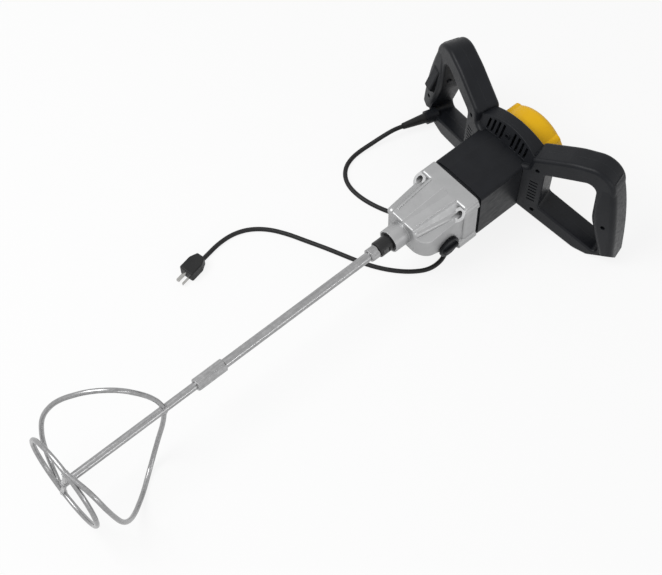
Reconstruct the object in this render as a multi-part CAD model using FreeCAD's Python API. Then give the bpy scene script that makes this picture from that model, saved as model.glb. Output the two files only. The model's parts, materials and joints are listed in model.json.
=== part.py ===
import FreeCAD, Part
import math
import os

V = FreeCAD.Vector
X_AXIS = V(1, 0, 0)
Y_AXIS = V(0, 1, 0)
Z_AXIS = V(0, 0, 1)

# Driving dimensions in millimetres.
# While it is drawn, X runs along the spindle from the paddle ring to the rear cap, the spindle at Y = Z = 0,
# Y points to the trigger handle and Z points up. The finished pieces are moved to the origin at the end.

# Reach of the solids that only cut
FAR = 400.0

# Fits
THREAD_FIT = 0.05
RUNNING_FIT = 0.05
SEAT_FIT = 0.05
MOUTH_FIT = 0.15
SHELL_FIT = 0.3

# Paddle and rod
RING_RADIUS = 78.5
WIRE_DIAMETER = 8.0
WIRE_PHASE = 108.0
PADDLE_SHAFT_DIAMETER = 13.0
WELD_X = 185.0
REST_HEIGHT = 112.8
WIRE_LOWEST_SHARE = 0.9542
COUPLING_START = 244.0
COUPLING_LENGTH = 56.0
COUPLING_FLATS = 21.0
COUPLING_DEPTH = 26.0
ROD_DIAMETER = 16.0
ROD_LENGTH = 297.0
THREAD_DIAMETER = 14.0
NUT_LENGTH = 17.0
NUT_FLATS = 22.0
HEX_CHAMFER = 2.5

# Spindle
SPINDLE_DIAMETER = 28.0
SPINDLE_FLATS = 24.0
SPINDLE_REACH = 26.0
SPINDLE_CHAMFER = 1.5
FLATS_SETBACK = 5.0
FLATS_LENGTH = 13.0
THREAD_DEPTH = 32.0
THREAD_RELIEF = 4.0
JOURNAL_DIAMETER = 17.0
HEX_DRIVE_FLATS = 14.6
REAR_JOURNAL_DIAMETER = 14.0
END_JOURNAL_DIAMETER = 8.0

# Gear case: collar, tapered nose with sloping shoulders, side lobe and rear box
COLLAR_DIAMETER = 41.0
COLLAR_LENGTH = 28.0
SEAL_DIAMETER = 36.0
SEAL_WIDTH = 8.0
FRONT_BEARING_DIAMETER = 35.0
FRONT_BEARING_WIDTH = 10.0
CASE_LENGTH = 119.0
CASE_WALL = 4.0
BOX_LENGTH = 29.0
BOX_ROUND = 4.5
CASE_CORNER = 6.0
NOSE_HALF_WIDTH = 33.0
NOSE_DECK_HALF_WIDTH = 25.0
NOSE_TOP = 30.0
NOSE_BOTTOM = -25.0
NOSE_SHOULDER = 16.0
NOSE_ROUND = 3.0
TAPER_HALF_WIDTH = 47.5
TAPER_DECK_HALF_WIDTH = 31.0
TAPER_BOTTOM = -64.0
TAPER_SHOULDER = 24.0
DECK_ROUND = 5.0
SHOULDER_ROUND = 8.0
# Rounded fairings from the nose to the upper screws: places as width and height, and a radius
LEFT_FAIRING = [(30.5, 19.0), (44.0, 11.0), 8.2]
RIGHT_FAIRING = [(-27.5, 17.5), (-41.0, 13.0), 7.0]
LOBE_REACH = 50.0
LOBE_CORNER = 24.0
LOBE_INNER_Z = 17.0
LOBE_EDGE_Z = 5.0
LOBE_ROUND = 2.0
RIB_HEIGHT = 1.2
RIB_WIDTH = 2.4
RIB_INSET = 3.0
SEAT_LEDGE = 1.5

# Motor housing section and the motor axis
HOUSING_WIDTH = 107.0
HOUSING_HEIGHT = 109.0
HOUSING_TOP = 33.6
HOUSING_LENGTH = 111.0
HOUSING_WALL = 4.0
FACET_HALF_WIDTH = 24.0
FACET_DROP = 4.4
HOUSING_REBATE_DEPTH = 3.0
GASKET_THICKNESS = 2.5
GASKET_INSET = 2.0
MOTOR_DROP = 21.0

# Case screws
CASE_SCREW_Y = 46.8
CASE_SCREW_TOP_Z = 20.5
CASE_SCREW_BOTTOM_Z = -62.5
CASE_SCREW_DIAMETER = 5.0
CASE_SCREW_HEAD = 10.0
CASE_SCREW_HEAD_HEIGHT = 5.0
CASE_SCREW_SOCKET = 4.0
CASE_BOSS_RADIUS = 10.0
CASE_BOSS_REACH = 8.0
CASE_HEAD_DEPTH = 13.0
HOUSING_BOSS_RADIUS = 6.4
CASE_SCREW_BITE = 22.0

# Gears: two stages, with a low and a high pair on the second
FIRST_MODULE = 1.0
ARMATURE_TEETH = 8
WHEEL_TEETH = 42
SECOND_MODULE = 1.25
LOW_PINION_TEETH = 12
LOW_GEAR_TEETH = 42
HIGH_PINION_TEETH = 18
PRESSURE_ANGLE = math.radians(20.0)
ADDENDUM = 0.8
DEDENDUM = 1.1
BACKLASH = 0.16
WHEEL_WIDTH = 8.0
LOW_GEAR_WIDTH = 12.7
HIGH_GEAR_WIDTH = 10.0
COUNTERSHAFT_DIAMETER = 10.0
PLATE_THICKNESS = 12.0
GEAR_GAP = 5.0
PLATE_GAP = 2.0
SHAFT_STEP = 1.0

# Small ball bearings of the countershaft, spindle end and armature end, and the armature front bearing
SMALL_BEARING_DIAMETER = 22.0
SMALL_BEARING_BORE = 8.0
SMALL_BEARING_WIDTH = 7.0
ARMATURE_BEARING_DIAMETER = 26.0
ARMATURE_BEARING_WIDTH = 8.0
BEARING_GROOVE = 0.8
BEARING_RACE = 2.0

# Speed selector
SHIFT_TRAVEL = 4.0
SLEEVE_LENGTH = 11.0
SLEEVE_RADIUS = 14.0
SLEEVE_GROOVE_RADIUS = 11.5
FORK_THICKNESS = 3.6
DOG_COUNT = 3
DOG_LENGTH = 3.5
DOG_ANGLE = 30.0
DOG_INNER_GAP = 1.2
DOG_OUTER_GAP = 0.5
DOG_SLACK = 0.5
DOG_SPREAD = 5.0
KNOB_SETBACK = 59.0
KNOB_Z = -42.0
KNOB_DIAMETER = 40.0
KNOB_THICKNESS = 5.0
KNOB_CHAMFER = 1.2
KNOB_BAR_HEIGHT = 5.0
KNOB_BAR_WIDTH = 9.0
KNOB_BAR_LENGTH = 30.0
KNOB_SOCKET = 4.0
KNOB_BOSS_RADIUS = 15.0
KNOB_BOSS_DEPTH = 33.0
SELECTOR_SHAFT_DIAMETER = 10.0
SELECTOR_DISC_SETBACK = 13.5
SELECTOR_DISC_WIDTH = 3.0
SELECTOR_PIN_DIAMETER = 5.0
SELECTOR_PIN_LENGTH = 9.5
SELECTOR_PIN_PLAY = 1.0
FORK_PRONG = 4.0
FORK_FOOT_WIDTH = 6.0
FORK_BRIDGE = 2.5
FORK_TAIL_WIDTH = 14.0
FORK_HUB_WALL = 2.5
FORK_HUB_REACH = 3.0
RAIL_DIAMETER = 6.0
RAIL_Z = -40.0
RAIL_BITE = 6.0

# Motor
ARMATURE_DIAMETER = 47.0
ARMATURE_SLOTS = 12
ARMATURE_SHAFT_DIAMETER = 10.0
AIR_GAP = 1.0
SLOT_FLOOR_RADIUS = 15.0
SLOT_HALF_WIDTH = 2.6
SLOT_MOUTH_HALF_WIDTH = 0.9
SLOT_COVER = 2.0
WINDING_ROUND = 2.5
CORE_LENGTH = 60.0
CORE_SETBACK = 28.5
STATOR_OUTER_RADIUS = 45.0
STATOR_INNER_RADIUS = 36.0
STATOR_RIB_WIDTH = 12.0
SHOE_THICKNESS = 4.0
NECK_HALF_ANGLE = 30.0
COIL_HALF_ANGLE = 62.0
POLE_HALF_ANGLE = 52.0
COIL_OVERHANG = 9.0
FAN_RADIUS = 38.0
FAN_SETBACK = 6.0
FAN_WIDTH = 11.0
FAN_BLADES = 11
FAN_DISC = 2.0
FAN_HUB_WALL = 4.0
FAN_EYE_RADIUS = 15.0
FAN_BLADE_HALF_WIDTH = 0.9
COMMUTATOR_RADIUS = 14.0
COMMUTATOR_SETBACK = 5.5
COMMUTATOR_LENGTH = 14.0
SLIT_HALF_WIDTH = 0.35
BRUSH_WIDTH = 8.0
BRUSH_THICKNESS = 6.0
BRUSH_LENGTH = 16.0
BRACKET_THICKNESS = 4.0
BRACKET_BORE_RADIUS = 30.0
BRACKET_HALF_WIDTH = 9.0
BRACKET_REACH = 38.0
BRACKET_LEG = 6.0
HOLDER_REACH = 44.0
HOLDER_WALL = 2.0
HOLDER_FOOT_REACH = 33.0
REAR_BEARING_GAP = 6.0

# Handle yoke: the loops lie in planes X = LOOP_X + LOOP_SWEEP * |Y| + LOOP_PITCH * Z
LOOP_SETBACK = -2.5
LOOP_SWEEP = 0.30
LOOP_PITCH = 0.05
LOOP_DEPTH = 46.0
LOOP_ROUND = 7.0
OPENING_ROUND = 4.0
SHELL_WALL = 3.0
GRIP_SWELL = 4.5
GRIP_SWELL_OUTSIDE = 7.0
GRIP_ROUND = 10.0
GRIP_SINK = 0.4
CROWN_ARCH_RADIUS = 125.0
CROWN_RISE = 34.0
CROWN_HALF_WIDTH = 62.0
CROWN_SKIRT = 3.0
CROWN_LEAN = 0.40
CROWN_OVERLAP = 4.0
CROWN_DEPTH = 36.0
CROWN_SPLIT = 18.5
CROWN_ROUND = 3.6
LIP_ROUND = 1.2
VENT_WIDTH = 4.6
VENT_RISE = 2.0
VENT_MARGIN = 1.5
VENTS_PER_SIDE = 4
TOP_VENT_PITCH = 9.9
TOP_VENT_START = 12.5
SIDE_VENTS = 7
SIDE_VENT_WIDTH = 3.0
SIDE_VENT_LENGTH = 14.0
SIDE_VENT_PITCH = 7.6
SIDE_VENT_Y = 62.0
SIDE_VENT_TOP_Z = 8.0
HANDLE_SCREW_DIAMETER = 4.0
HANDLE_SCREW_HEAD = 7.6
HANDLE_BOSS_RADIUS = 5.2
HANDLE_HEAD_DEPTH = 9.0
HANDLE_SCREW_HEAD_HEIGHT = 4.0
HANDLE_SCREW_SETBACK = 6.0
CROWN_HOLE_RADIUS = 4.0
CROWN_HOLE_RISE = 16.0
CROWN_HOLE_DEPTH = 8.0
CROWN_BOSS_PROUD = 2.0

# Rear cap
CAP_LENGTH = 52.0
CAP_RADIUS = 68.0
CAP_WALL = 3.0
CAP_ROUND = 14.0
CAP_BOSS_RADIUS = 10.0
CAP_BOSS_CENTRE = 61.0
CAP_BOSS_ROUND = 3.0
CAP_BOSS_SETBACK = 6.0
CAP_SPIGOT = 3.0
CAP_MOUTH_RADIUS = 52.0
CAP_SCREW_DIAMETER = 4.0
CAP_SCREW_HEAD = 7.6
CAP_SCREW_HEAD_HEIGHT = 4.0
CAP_SCREW_BITE = 12.0
CAP_LUG_RADIUS = 6.0

# Trigger and lock button on the left grip
TRIGGER_TRAVEL = 7.0
TRIGGER_WIDTH = 18.0
TRIGGER_TOP_Z = 27.0
TRIGGER_BOTTOM_Z = -32.0
TRIGGER_TIP_Z = -22.0
TRIGGER_TIP_PROUD = 15.0
TRIGGER_END_PROUD = 4.0
TRIGGER_GAP = 0.5
TRIGGER_ROUND = 2.5
TRIGGER_SEAT = 1.5
SWITCH_LENGTH = 46.0
SWITCH_WIDTH = 17.0
SWITCH_CHAMFER = 3.5
LOCK_DIAMETER = 9.0
LOCK_TRAVEL = 1.8
LOCK_SHANK = 2.5
LOCK_PROUD = 2.5
LOCK_Z = 4.0
LOCK_DEPTH = -7.0

# Cord, guard and plug
CORD_DIAMETER = 8.0
GUARD_LENGTH = 60.0
GUARD_BASE_RADIUS = 9.0
GUARD_TIP_RADIUS = 5.6
GUARD_Y = 186.0
GUARD_Z = -94.0
GUARD_NECK = 6.0
GUARD_COLLAR = 3.0
GUARD_SOCKET_WALL = 3.2
GUARD_SOCKET_REACH = 15.0
GUARD_SOCKET_DEPTH = 8.0
CORD_LEAD = 14.0
PLUG_LENGTH = 40.0
PLUG_WIDTH = 28.0
PLUG_HEIGHT = 22.0
PLUG_REAR_WIDTH = 15.4
PLUG_SHOULDER = 14.0
PLUG_ROUND = 3.0
PLUG_SHOULDER_ROUND = 10.0
PLUG_EDGE_ROUND = 2.5
BLADE_LENGTH = 17.0
BLADE_WIDTH = 6.3
BLADE_THICKNESS = 1.5
BLADE_SPACING = 12.7
GROUND_PIN_DIAMETER = 4.8
GROUND_PIN_LENGTH = 20.0
GROUND_PIN_RISE = 8.0

# Stations along the spindle, worked out from the lengths
COUPLING_END = COUPLING_START + COUPLING_LENGTH
NUT_START = COUPLING_END + ROD_LENGTH
SPINDLE_FRONT = NUT_START + NUT_LENGTH
COLLAR_FRONT = SPINDLE_FRONT + SPINDLE_REACH
NOSE_FRONT = COLLAR_FRONT + COLLAR_LENGTH
CASE_REAR = NOSE_FRONT + CASE_LENGTH
BOX_FRONT = CASE_REAR - BOX_LENGTH
CASE_BOSS_FRONT = BOX_FRONT - CASE_BOSS_REACH
PLATE_FRONT = CASE_REAR - PLATE_THICKNESS
HOUSING_FRONT = CASE_REAR + GASKET_THICKNESS
HOUSING_REAR = HOUSING_FRONT + HOUSING_LENGTH
CROWN_FRONT = HOUSING_REAR - CROWN_OVERLAP
CROWN_REAR = CROWN_FRONT + CROWN_DEPTH
CAP_REAR = CROWN_REAR + CAP_LENGTH
LOOP_X = CROWN_FRONT + LOOP_SETBACK
WHEEL_START = PLATE_FRONT - PLATE_GAP - WHEEL_WIDTH
LOW_GEAR_END = WHEEL_START - GEAR_GAP
LOW_GEAR_START = LOW_GEAR_END - LOW_GEAR_WIDTH
SLEEVE_END = LOW_GEAR_START - SHELL_FIT
SLEEVE_START = SLEEVE_END - SLEEVE_LENGTH
HIGH_GEAR_END = SLEEVE_START - SHIFT_TRAVEL - PLATE_GAP
HIGH_GEAR_START = HIGH_GEAR_END - HIGH_GEAR_WIDTH
COUNTER_BEARING_END = HIGH_GEAR_START - PLATE_GAP - SHAFT_STEP
COUNTER_BEARING_START = COUNTER_BEARING_END - SMALL_BEARING_WIDTH
SEAL_END = COLLAR_FRONT + SEAL_WIDTH
FRONT_BEARING_START = SEAL_END + PLATE_GAP
KNOB_X = NOSE_FRONT + KNOB_SETBACK
KNOB_BACK_Y = -LOBE_REACH - SHAFT_STEP
KNOB_FACE_Y = KNOB_BACK_Y - KNOB_THICKNESS
SELECTOR_DISC_Y = KNOB_BACK_Y + SELECTOR_DISC_SETBACK
ARMATURE_BEARING_END = HOUSING_FRONT + HOUSING_WALL + SHAFT_STEP
ARMATURE_BEARING_START = ARMATURE_BEARING_END - ARMATURE_BEARING_WIDTH
FAN_START = HOUSING_FRONT + FAN_SETBACK
CORE_START = HOUSING_FRONT + CORE_SETBACK
CORE_END = CORE_START + CORE_LENGTH
COMMUTATOR_START = HOUSING_REAR + COMMUTATOR_SETBACK
COMMUTATOR_END = COMMUTATOR_START + COMMUTATOR_LENGTH
REAR_BEARING_START = COMMUTATOR_END + REAR_BEARING_GAP
REAR_BEARING_END = REAR_BEARING_START + SMALL_BEARING_WIDTH
FRONT_BEARING_BORE = JOURNAL_DIAMETER / 2 + RUNNING_FIT

# Axes of the gear train: spindle, countershaft and motor
HOUSING_BOTTOM = HOUSING_TOP - HOUSING_HEIGHT
MOTOR_Y = 0.0
MOTOR_Z = -MOTOR_DROP
HIGH_GEAR_TEETH = LOW_PINION_TEETH + LOW_GEAR_TEETH - HIGH_PINION_TEETH
FIRST_CENTRES = FIRST_MODULE * (ARMATURE_TEETH + WHEEL_TEETH) / 2
SECOND_CENTRES = SECOND_MODULE * (LOW_PINION_TEETH + LOW_GEAR_TEETH) / 2
COUNTER_Z = (FIRST_CENTRES ** 2 - SECOND_CENTRES ** 2 - MOTOR_DROP ** 2) / (2 * MOTOR_DROP)
COUNTER_Y = -math.sqrt(SECOND_CENTRES ** 2 - COUNTER_Z ** 2)

# The paddle wires bulge until they touch the floor
BULGE_RADIUS = (REST_HEIGHT - WIRE_DIAMETER / 2) / WIRE_LOWEST_SHARE

# Bends of a paddle wire as distance along the spindle, radius and angle from the end on the ring
WIRE_BENDS = [
    (WELD_X, 0.0, 160.0),
    (WELD_X - 8.0, 0.30 * BULGE_RADIUS, 160.0),
    (WELD_X - 25.0, 0.65 * BULGE_RADIUS, 161.0),
    (WELD_X - 56.0, 0.97 * BULGE_RADIUS, 154.0),
    (0.51 * WELD_X, 1.02 * BULGE_RADIUS, 140.0),
    (0.30 * WELD_X, 0.98 * BULGE_RADIUS, 119.0),
    (0.17 * WELD_X, 0.88 * BULGE_RADIUS, 91.0),
    (0.10 * WELD_X, 0.82 * BULGE_RADIUS, 58.0),
    (0.055 * WELD_X, 0.81 * BULGE_RADIUS, 28.0),
    (0.0, RING_RADIUS, 0.0),
]

# Outline of the left loop and of its finger opening: Y, Z and corner radius
GRIP_OUTER_TOP = (193.5, 110.0)
GRIP_OUTER_BOTTOM = (222.0, -REST_HEIGHT - 0.8)
GRIP_INNER_TOP = (168.5, 69.5)
GRIP_INNER_BEND = (172.5, -12.0)
GRIP_INNER_BOTTOM = (201.0, -99.0)
LOOP_OUTLINE = [
    (20.0, 22.0, 0.0),
    (55.0, 36.0, 8.0),
    (58.5, 59.5, 12.0),
    (122.0, 90.0, 120.0),
    (*GRIP_OUTER_TOP, 40.0),
    (*GRIP_OUTER_BOTTOM, 10.0),
    (155.0, -REST_HEIGHT + 0.2, 40.0),
    (20.0, -60.0, 0.0),
]
LOOP_OPENING = [
    (84.0, 34.0, 9.0),
    (*GRIP_INNER_TOP, 15.0),
    (*GRIP_INNER_BEND, 80.0),
    (*GRIP_INNER_BOTTOM, 8.0),
    (84.0, -50.0, 9.0),
]

# Swell of the grips along their height: Z and share of the full swell
GRIP_STATIONS = [(80.0, -0.3), (45.0, 0.45), (0.0, 0.9), (-30.0, 1.0), (-65.0, 0.95), (-104.0, 0.75)]
# Bevel at the front lower corner of each grip: three points as place across, height and depth
GRIP_HEEL = [
    (172.0, -REST_HEIGHT, -LOOP_DEPTH / 2),
    (221.0, -86.0, -LOOP_DEPTH / 2),
    (216.0, -REST_HEIGHT, -3.0),
]

# Handle screws: Y and Z on the loops
COMMON_SCREWS = [(71.0, 38.0), (75.0, -62.0), (204.0, -95.0)]
RIGHT_GRIP_SCREW = (196.0, -18.0)
LEFT_GRIP_SCREW = (201.0, -56.0)

# Cord route from the guard's tip to the plug, X counted from LOOP_X: first the drop with its heights,
# then the stretch on the floor
CORD_LIFT = CORD_DIAMETER / 2
CORD_DROP = [
    (-56.0, 217.0, -95.0),
    (-75.0, 221.0, -99.5),
    (-94.0, 224.5, -104.5),
]
CORD_FLOOR = [
    (-113.0, 228.0),
    (-136.0, 226.0),
    (-156.0, 218.0),
    (-171.0, 203.0),
    (-179.0, 183.0),
    (-180.0, 158.0),
    (-175.0, 130.0),
    (-165.0, 102.0),
    (-152.0, 76.0),
    (-136.0, 51.0),
    (-123.0, 25.0),
    (-124.0, -3.0),
    (-139.0, -25.0),
    (-164.0, -36.0),
    (-191.0, -35.0),
    (-215.0, -20.0),
    (-236.0, 1.0),
    (-254.0, 26.0),
    (-268.0, 53.0),
    (-280.0, 82.0),
    (-293.0, 113.0),
    (-308.0, 145.0),
    (-323.0, 178.0),
    (-341.0, 207.0),
    (-365.0, 229.0),
    (-393.0, 240.0),
    (-422.0, 241.0),
    (-446.0, 237.0),
]
PLUG_BACK = (-466.0, 233.0)


# Basic solids

def rod(x0, x1, radius, y=0.0, z=0.0):
    return Part.makeCylinder(radius, x1 - x0, V(x0, y, z), X_AXIS)


def tube(x0, x1, outer, inner, y=0.0, z=0.0):
    return rod(x0, x1, outer, y, z).cut(rod(x0, x1, inner, y, z))


def block(x0, x1, y0, y1, z0, z1):
    return Part.makeBox(x1 - x0, y1 - y0, z1 - z0, V(x0, y0, z0))


def prism(points, x0, x1):
    corners = [V(x0, y, z) for y, z in points]
    face = Part.Face(Part.makePolygon(corners + corners[:1]))
    return face.extrude(V(x1 - x0, 0, 0))


def hex_prism(x0, x1, flats):
    corner = flats / math.sqrt(3)
    angles = [math.radians(60 * k) for k in range(6)]
    points = [(corner * math.cos(angle), corner * math.sin(angle)) for angle in angles]
    return prism(points, x0, x1)


def hex_bar(x0, x1, flats):
    corner = flats / math.sqrt(3)
    body = rod(x0, x1, corner)
    body = body.makeChamfer(HEX_CHAMFER, [e for e in body.Edges if isinstance(e.Curve, Part.Circle)])
    return body.common(hex_prism(x0, x1, flats))


def fuse_all(shapes):
    first = shapes[0]
    return first.multiFuse(shapes[1:]).removeSplitter()


def cut_all(shape, cutters):
    return shape.cut(Part.makeCompound(cutters))


def beyond(point, normal):
    return Part.makeCylinder(FAR, FAR, point, normal)


def edges_at_x(shape, x):
    return [e for e in shape.Edges if e.BoundBox.XLength < 0.01 and abs(e.BoundBox.XMin - x) < 0.01]


def turned(shape, degrees, y=0.0, z=0.0):
    copy = shape.copy()
    copy.rotate(V(0, y, z), X_AXIS, degrees)
    return copy


def mirrored(shape):
    return shape.mirror(V(0, 0, 0), Y_AXIS)


# Routes of straight runs and tangent arcs

def corner_arc(before, point, after, radius):
    back = (before - point).normalize()
    ahead = (after - point).normalize()
    half = math.acos(max(-1.0, min(1.0, back.dot(ahead)))) / 2
    reach = radius / math.tan(half)
    middle = (back + ahead).normalize()
    centre_distance = radius / math.sin(half)
    start = point + back * reach
    end = point + ahead * reach
    top = point + middle * (centre_distance - radius)
    return start, top, end


def closed_outline(points, radii):
    edges = []
    count = len(points)
    arcs = []
    for k in range(count):
        if radii[k] > 0:
            arcs.append(corner_arc(points[k - 1], points[k], points[(k + 1) % count], radii[k]))
        else:
            arcs.append((points[k], None, points[k]))
    for k in range(count):
        start, top, end = arcs[k]
        if top is not None:
            edges.append(Part.Arc(start, top, end).toShape())
        following = arcs[(k + 1) % count][0]
        edges.append(Part.LineSegment(end, following).toShape())
    return Part.Wire(edges)


def route_radii(points):
    radii = []
    for k in range(1, len(points) - 1):
        before = points[k] - points[k - 1]
        after = points[k + 1] - points[k]
        turn = before.getAngle(after)
        radii.append(0.45 * min(before.Length, after.Length) / math.tan(turn / 2))
    return radii


def routed_tube(points, diameter, name):
    radii = route_radii(points)
    edges = []
    place = points[0]
    for k, radius in enumerate(radii):
        start, top, end = corner_arc(points[k], points[k + 1], points[k + 2], radius)
        edges.append(Part.LineSegment(place, start).toShape())
        edges.append(Part.Arc(start, top, end).toShape())
        place = end
    edges.append(Part.LineSegment(place, points[-1]).toShape())
    path = Part.Wire(edges)
    heading = points[1] - points[0]
    profile = Part.Wire([Part.Circle(points[0], heading, diameter / 2).toShape()])
    solid = path.makePipeShell([profile], True, True)
    ideal = math.pi * diameter ** 2 / 4 * path.Length
    print(name, "length", round(path.Length, 1), "volume ratio", round(solid.Volume / ideal, 4))
    print(name, "radii", [round(r) for r in radii])
    return solid


# Paddle

def wire_points(phase):
    points = []
    for x, radius, angle in WIRE_BENDS:
        t = math.radians(phase + angle)
        points.append(V(x, radius * math.cos(t), radius * math.sin(t)))
    return points


def make_paddle():
    wire_radius = WIRE_DIAMETER / 2
    shaft = rod(0.0, COUPLING_START + COUPLING_DEPTH, PADDLE_SHAFT_DIAMETER / 2)
    ring = Part.makeTorus(RING_RADIUS, wire_radius, V(0, 0, 0), X_AXIS)
    t = math.radians(WIRE_PHASE)
    across = V(0, math.cos(t), math.sin(t))
    bar = Part.makeCylinder(wire_radius, 2 * RING_RADIUS, across * -RING_RADIUS, across)
    crossbar = bar.cut(shaft).cut(ring)
    wires = []
    for k in range(2):
        wire = routed_tube(wire_points(WIRE_PHASE + 180 * k), WIRE_DIAMETER, "paddle wire")
        wires.append(wire.cut(shaft).cut(ring).cut(bar))
    return shaft, ring, crossbar, wires


def make_coupling():
    body = hex_bar(COUPLING_START, COUPLING_END, COUPLING_FLATS)
    front = rod(COUPLING_START, COUPLING_START + COUPLING_DEPTH, PADDLE_SHAFT_DIAMETER / 2 + THREAD_FIT)
    rear = rod(COUPLING_END - COUPLING_DEPTH, COUPLING_END, THREAD_DIAMETER / 2 + THREAD_FIT)
    return cut_all(body, [front, rear])


def make_rod():
    thread = THREAD_DIAMETER / 2
    return fuse_all([
        rod(COUPLING_END, NUT_START, ROD_DIAMETER / 2),
        rod(COUPLING_END - COUPLING_DEPTH, COUPLING_END, thread),
        rod(NUT_START, SPINDLE_FRONT + THREAD_DEPTH - THREAD_RELIEF, thread),
    ])


def make_lock_nut():
    bore = rod(NUT_START, SPINDLE_FRONT, THREAD_DIAMETER / 2 + THREAD_FIT)
    return hex_bar(NUT_START, SPINDLE_FRONT, NUT_FLATS).cut(bore)


# Spindle and gears

def make_spindle():
    outer = SPINDLE_DIAMETER / 2
    shoulder = FRONT_BEARING_START - SHAFT_STEP
    head = rod(SPINDLE_FRONT, shoulder, outer)
    head = head.makeChamfer(SPINDLE_CHAMFER, edges_at_x(head, SPINDLE_FRONT))
    flat = SPINDLE_FLATS / 2
    start = SPINDLE_FRONT + FLATS_SETBACK
    end = start + FLATS_LENGTH
    left = block(start, end, flat, outer, -outer, outer)
    right = block(start, end, -outer, -flat, -outer, outer)
    body = fuse_all([
        cut_all(head, [left, right]),
        rod(shoulder, HIGH_GEAR_END, JOURNAL_DIAMETER / 2),
        hex_prism(HIGH_GEAR_END, LOW_GEAR_START, HEX_DRIVE_FLATS),
        rod(LOW_GEAR_START, PLATE_FRONT - SHAFT_STEP, REAR_JOURNAL_DIAMETER / 2),
        rod(PLATE_FRONT - SHAFT_STEP, PLATE_FRONT + SMALL_BEARING_WIDTH, END_JOURNAL_DIAMETER / 2),
    ])
    return body.cut(rod(SPINDLE_FRONT, SPINDLE_FRONT + THREAD_DEPTH, THREAD_DIAMETER / 2 + THREAD_FIT))


def involute(angle):
    return math.tan(angle) - angle


def gear(teeth, module, x0, x1, y, z, phase):
    pitch = module * teeth / 2
    base = pitch * math.cos(PRESSURE_ANGLE)
    root = pitch - DEDENDUM * module
    tip = pitch + ADDENDUM * module
    half_at_pitch = math.pi / (2 * teeth) - BACKLASH / (2 * pitch)
    points = []
    for k in range(teeth):
        centre = phase + 2 * math.pi * k / teeth
        flank = []
        for radius in (root, pitch, tip):
            pressure = math.acos(base / radius) if radius > base else 0.0
            half = half_at_pitch + involute(PRESSURE_ANGLE) - involute(pressure)
            flank.append((radius, half))
        for radius, half in flank:
            points.append((y + radius * math.cos(centre - half), z + radius * math.sin(centre - half)))
        for radius, half in reversed(flank):
            points.append((y + radius * math.cos(centre + half), z + radius * math.sin(centre + half)))
    return prism(points, x0, x1)


def towards(y0, z0, y1, z1):
    return math.atan2(z1 - z0, y1 - y0)


def make_gears():
    to_counter = towards(0, 0, COUNTER_Y, COUNTER_Z)
    to_motor = towards(COUNTER_Y, COUNTER_Z, MOTOR_Y, MOTOR_Z)
    low = gear(LOW_GEAR_TEETH, SECOND_MODULE, LOW_GEAR_START, LOW_GEAR_END, 0, 0, to_counter)
    low = low.cut(rod(LOW_GEAR_START, LOW_GEAR_END, REAR_JOURNAL_DIAMETER / 2 + RUNNING_FIT))
    slot_end = LOW_GEAR_START + DOG_LENGTH + DOG_SLACK
    slots = [dog(k, LOW_GEAR_START, slot_end, DOG_SLACK, DOG_SPREAD) for k in range(DOG_COUNT)]
    low = cut_all(low, slots)
    high = gear(HIGH_GEAR_TEETH, SECOND_MODULE, HIGH_GEAR_START, HIGH_GEAR_END, 0, 0, to_counter)
    high = high.cut(rod(HIGH_GEAR_START, HIGH_GEAR_END, JOURNAL_DIAMETER / 2 + RUNNING_FIT))
    gap = to_counter + math.pi
    shaft = COUNTERSHAFT_DIAMETER / 2
    low_pinion = gear(LOW_PINION_TEETH, SECOND_MODULE, LOW_GEAR_START, LOW_GEAR_END, COUNTER_Y, COUNTER_Z,
                      gap + math.pi / LOW_PINION_TEETH)
    end = SMALL_BEARING_BORE / 2 - SEAT_FIT
    countershaft = fuse_all([
        rod(HIGH_GEAR_START - PLATE_GAP, PLATE_FRONT - SHAFT_STEP, shaft, COUNTER_Y, COUNTER_Z),
        rod(COUNTER_BEARING_START, HIGH_GEAR_START - PLATE_GAP, end, COUNTER_Y, COUNTER_Z),
        rod(PLATE_FRONT - SHAFT_STEP, PLATE_FRONT + SMALL_BEARING_WIDTH, end, COUNTER_Y, COUNTER_Z),
        low_pinion,
    ])
    high_pinion = gear(HIGH_PINION_TEETH, SECOND_MODULE, HIGH_GEAR_START, HIGH_GEAR_END, COUNTER_Y, COUNTER_Z,
                       gap + math.pi / HIGH_PINION_TEETH)
    high_pinion = high_pinion.cut(rod(HIGH_GEAR_START, HIGH_GEAR_END, shaft + SEAT_FIT, COUNTER_Y, COUNTER_Z))
    wheel_end = WHEEL_START + WHEEL_WIDTH
    wheel = gear(WHEEL_TEETH, FIRST_MODULE, WHEEL_START, wheel_end, COUNTER_Y, COUNTER_Z, to_motor)
    wheel = wheel.cut(rod(WHEEL_START, WHEEL_START + WHEEL_WIDTH, shaft + SEAT_FIT, COUNTER_Y, COUNTER_Z))
    return low, high, countershaft, high_pinion, wheel


# Selector: dog sleeve, fork, rail, shaft and knob

def dog(index, x0, x1, slack, spread):
    inner = JOURNAL_DIAMETER / 2 + DOG_INNER_GAP - slack
    outer = SLEEVE_RADIUS - DOG_OUTER_GAP + slack
    half = math.radians(DOG_ANGLE / 2 + spread)
    centre = 2 * math.pi * index / DOG_COUNT
    points = []
    for radius, side in ((inner, -1), (outer, -1), (outer, 1), (inner, 1)):
        points.append((radius * math.cos(centre + side * half), radius * math.sin(centre + side * half)))
    return prism(points, x0, x1)


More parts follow.
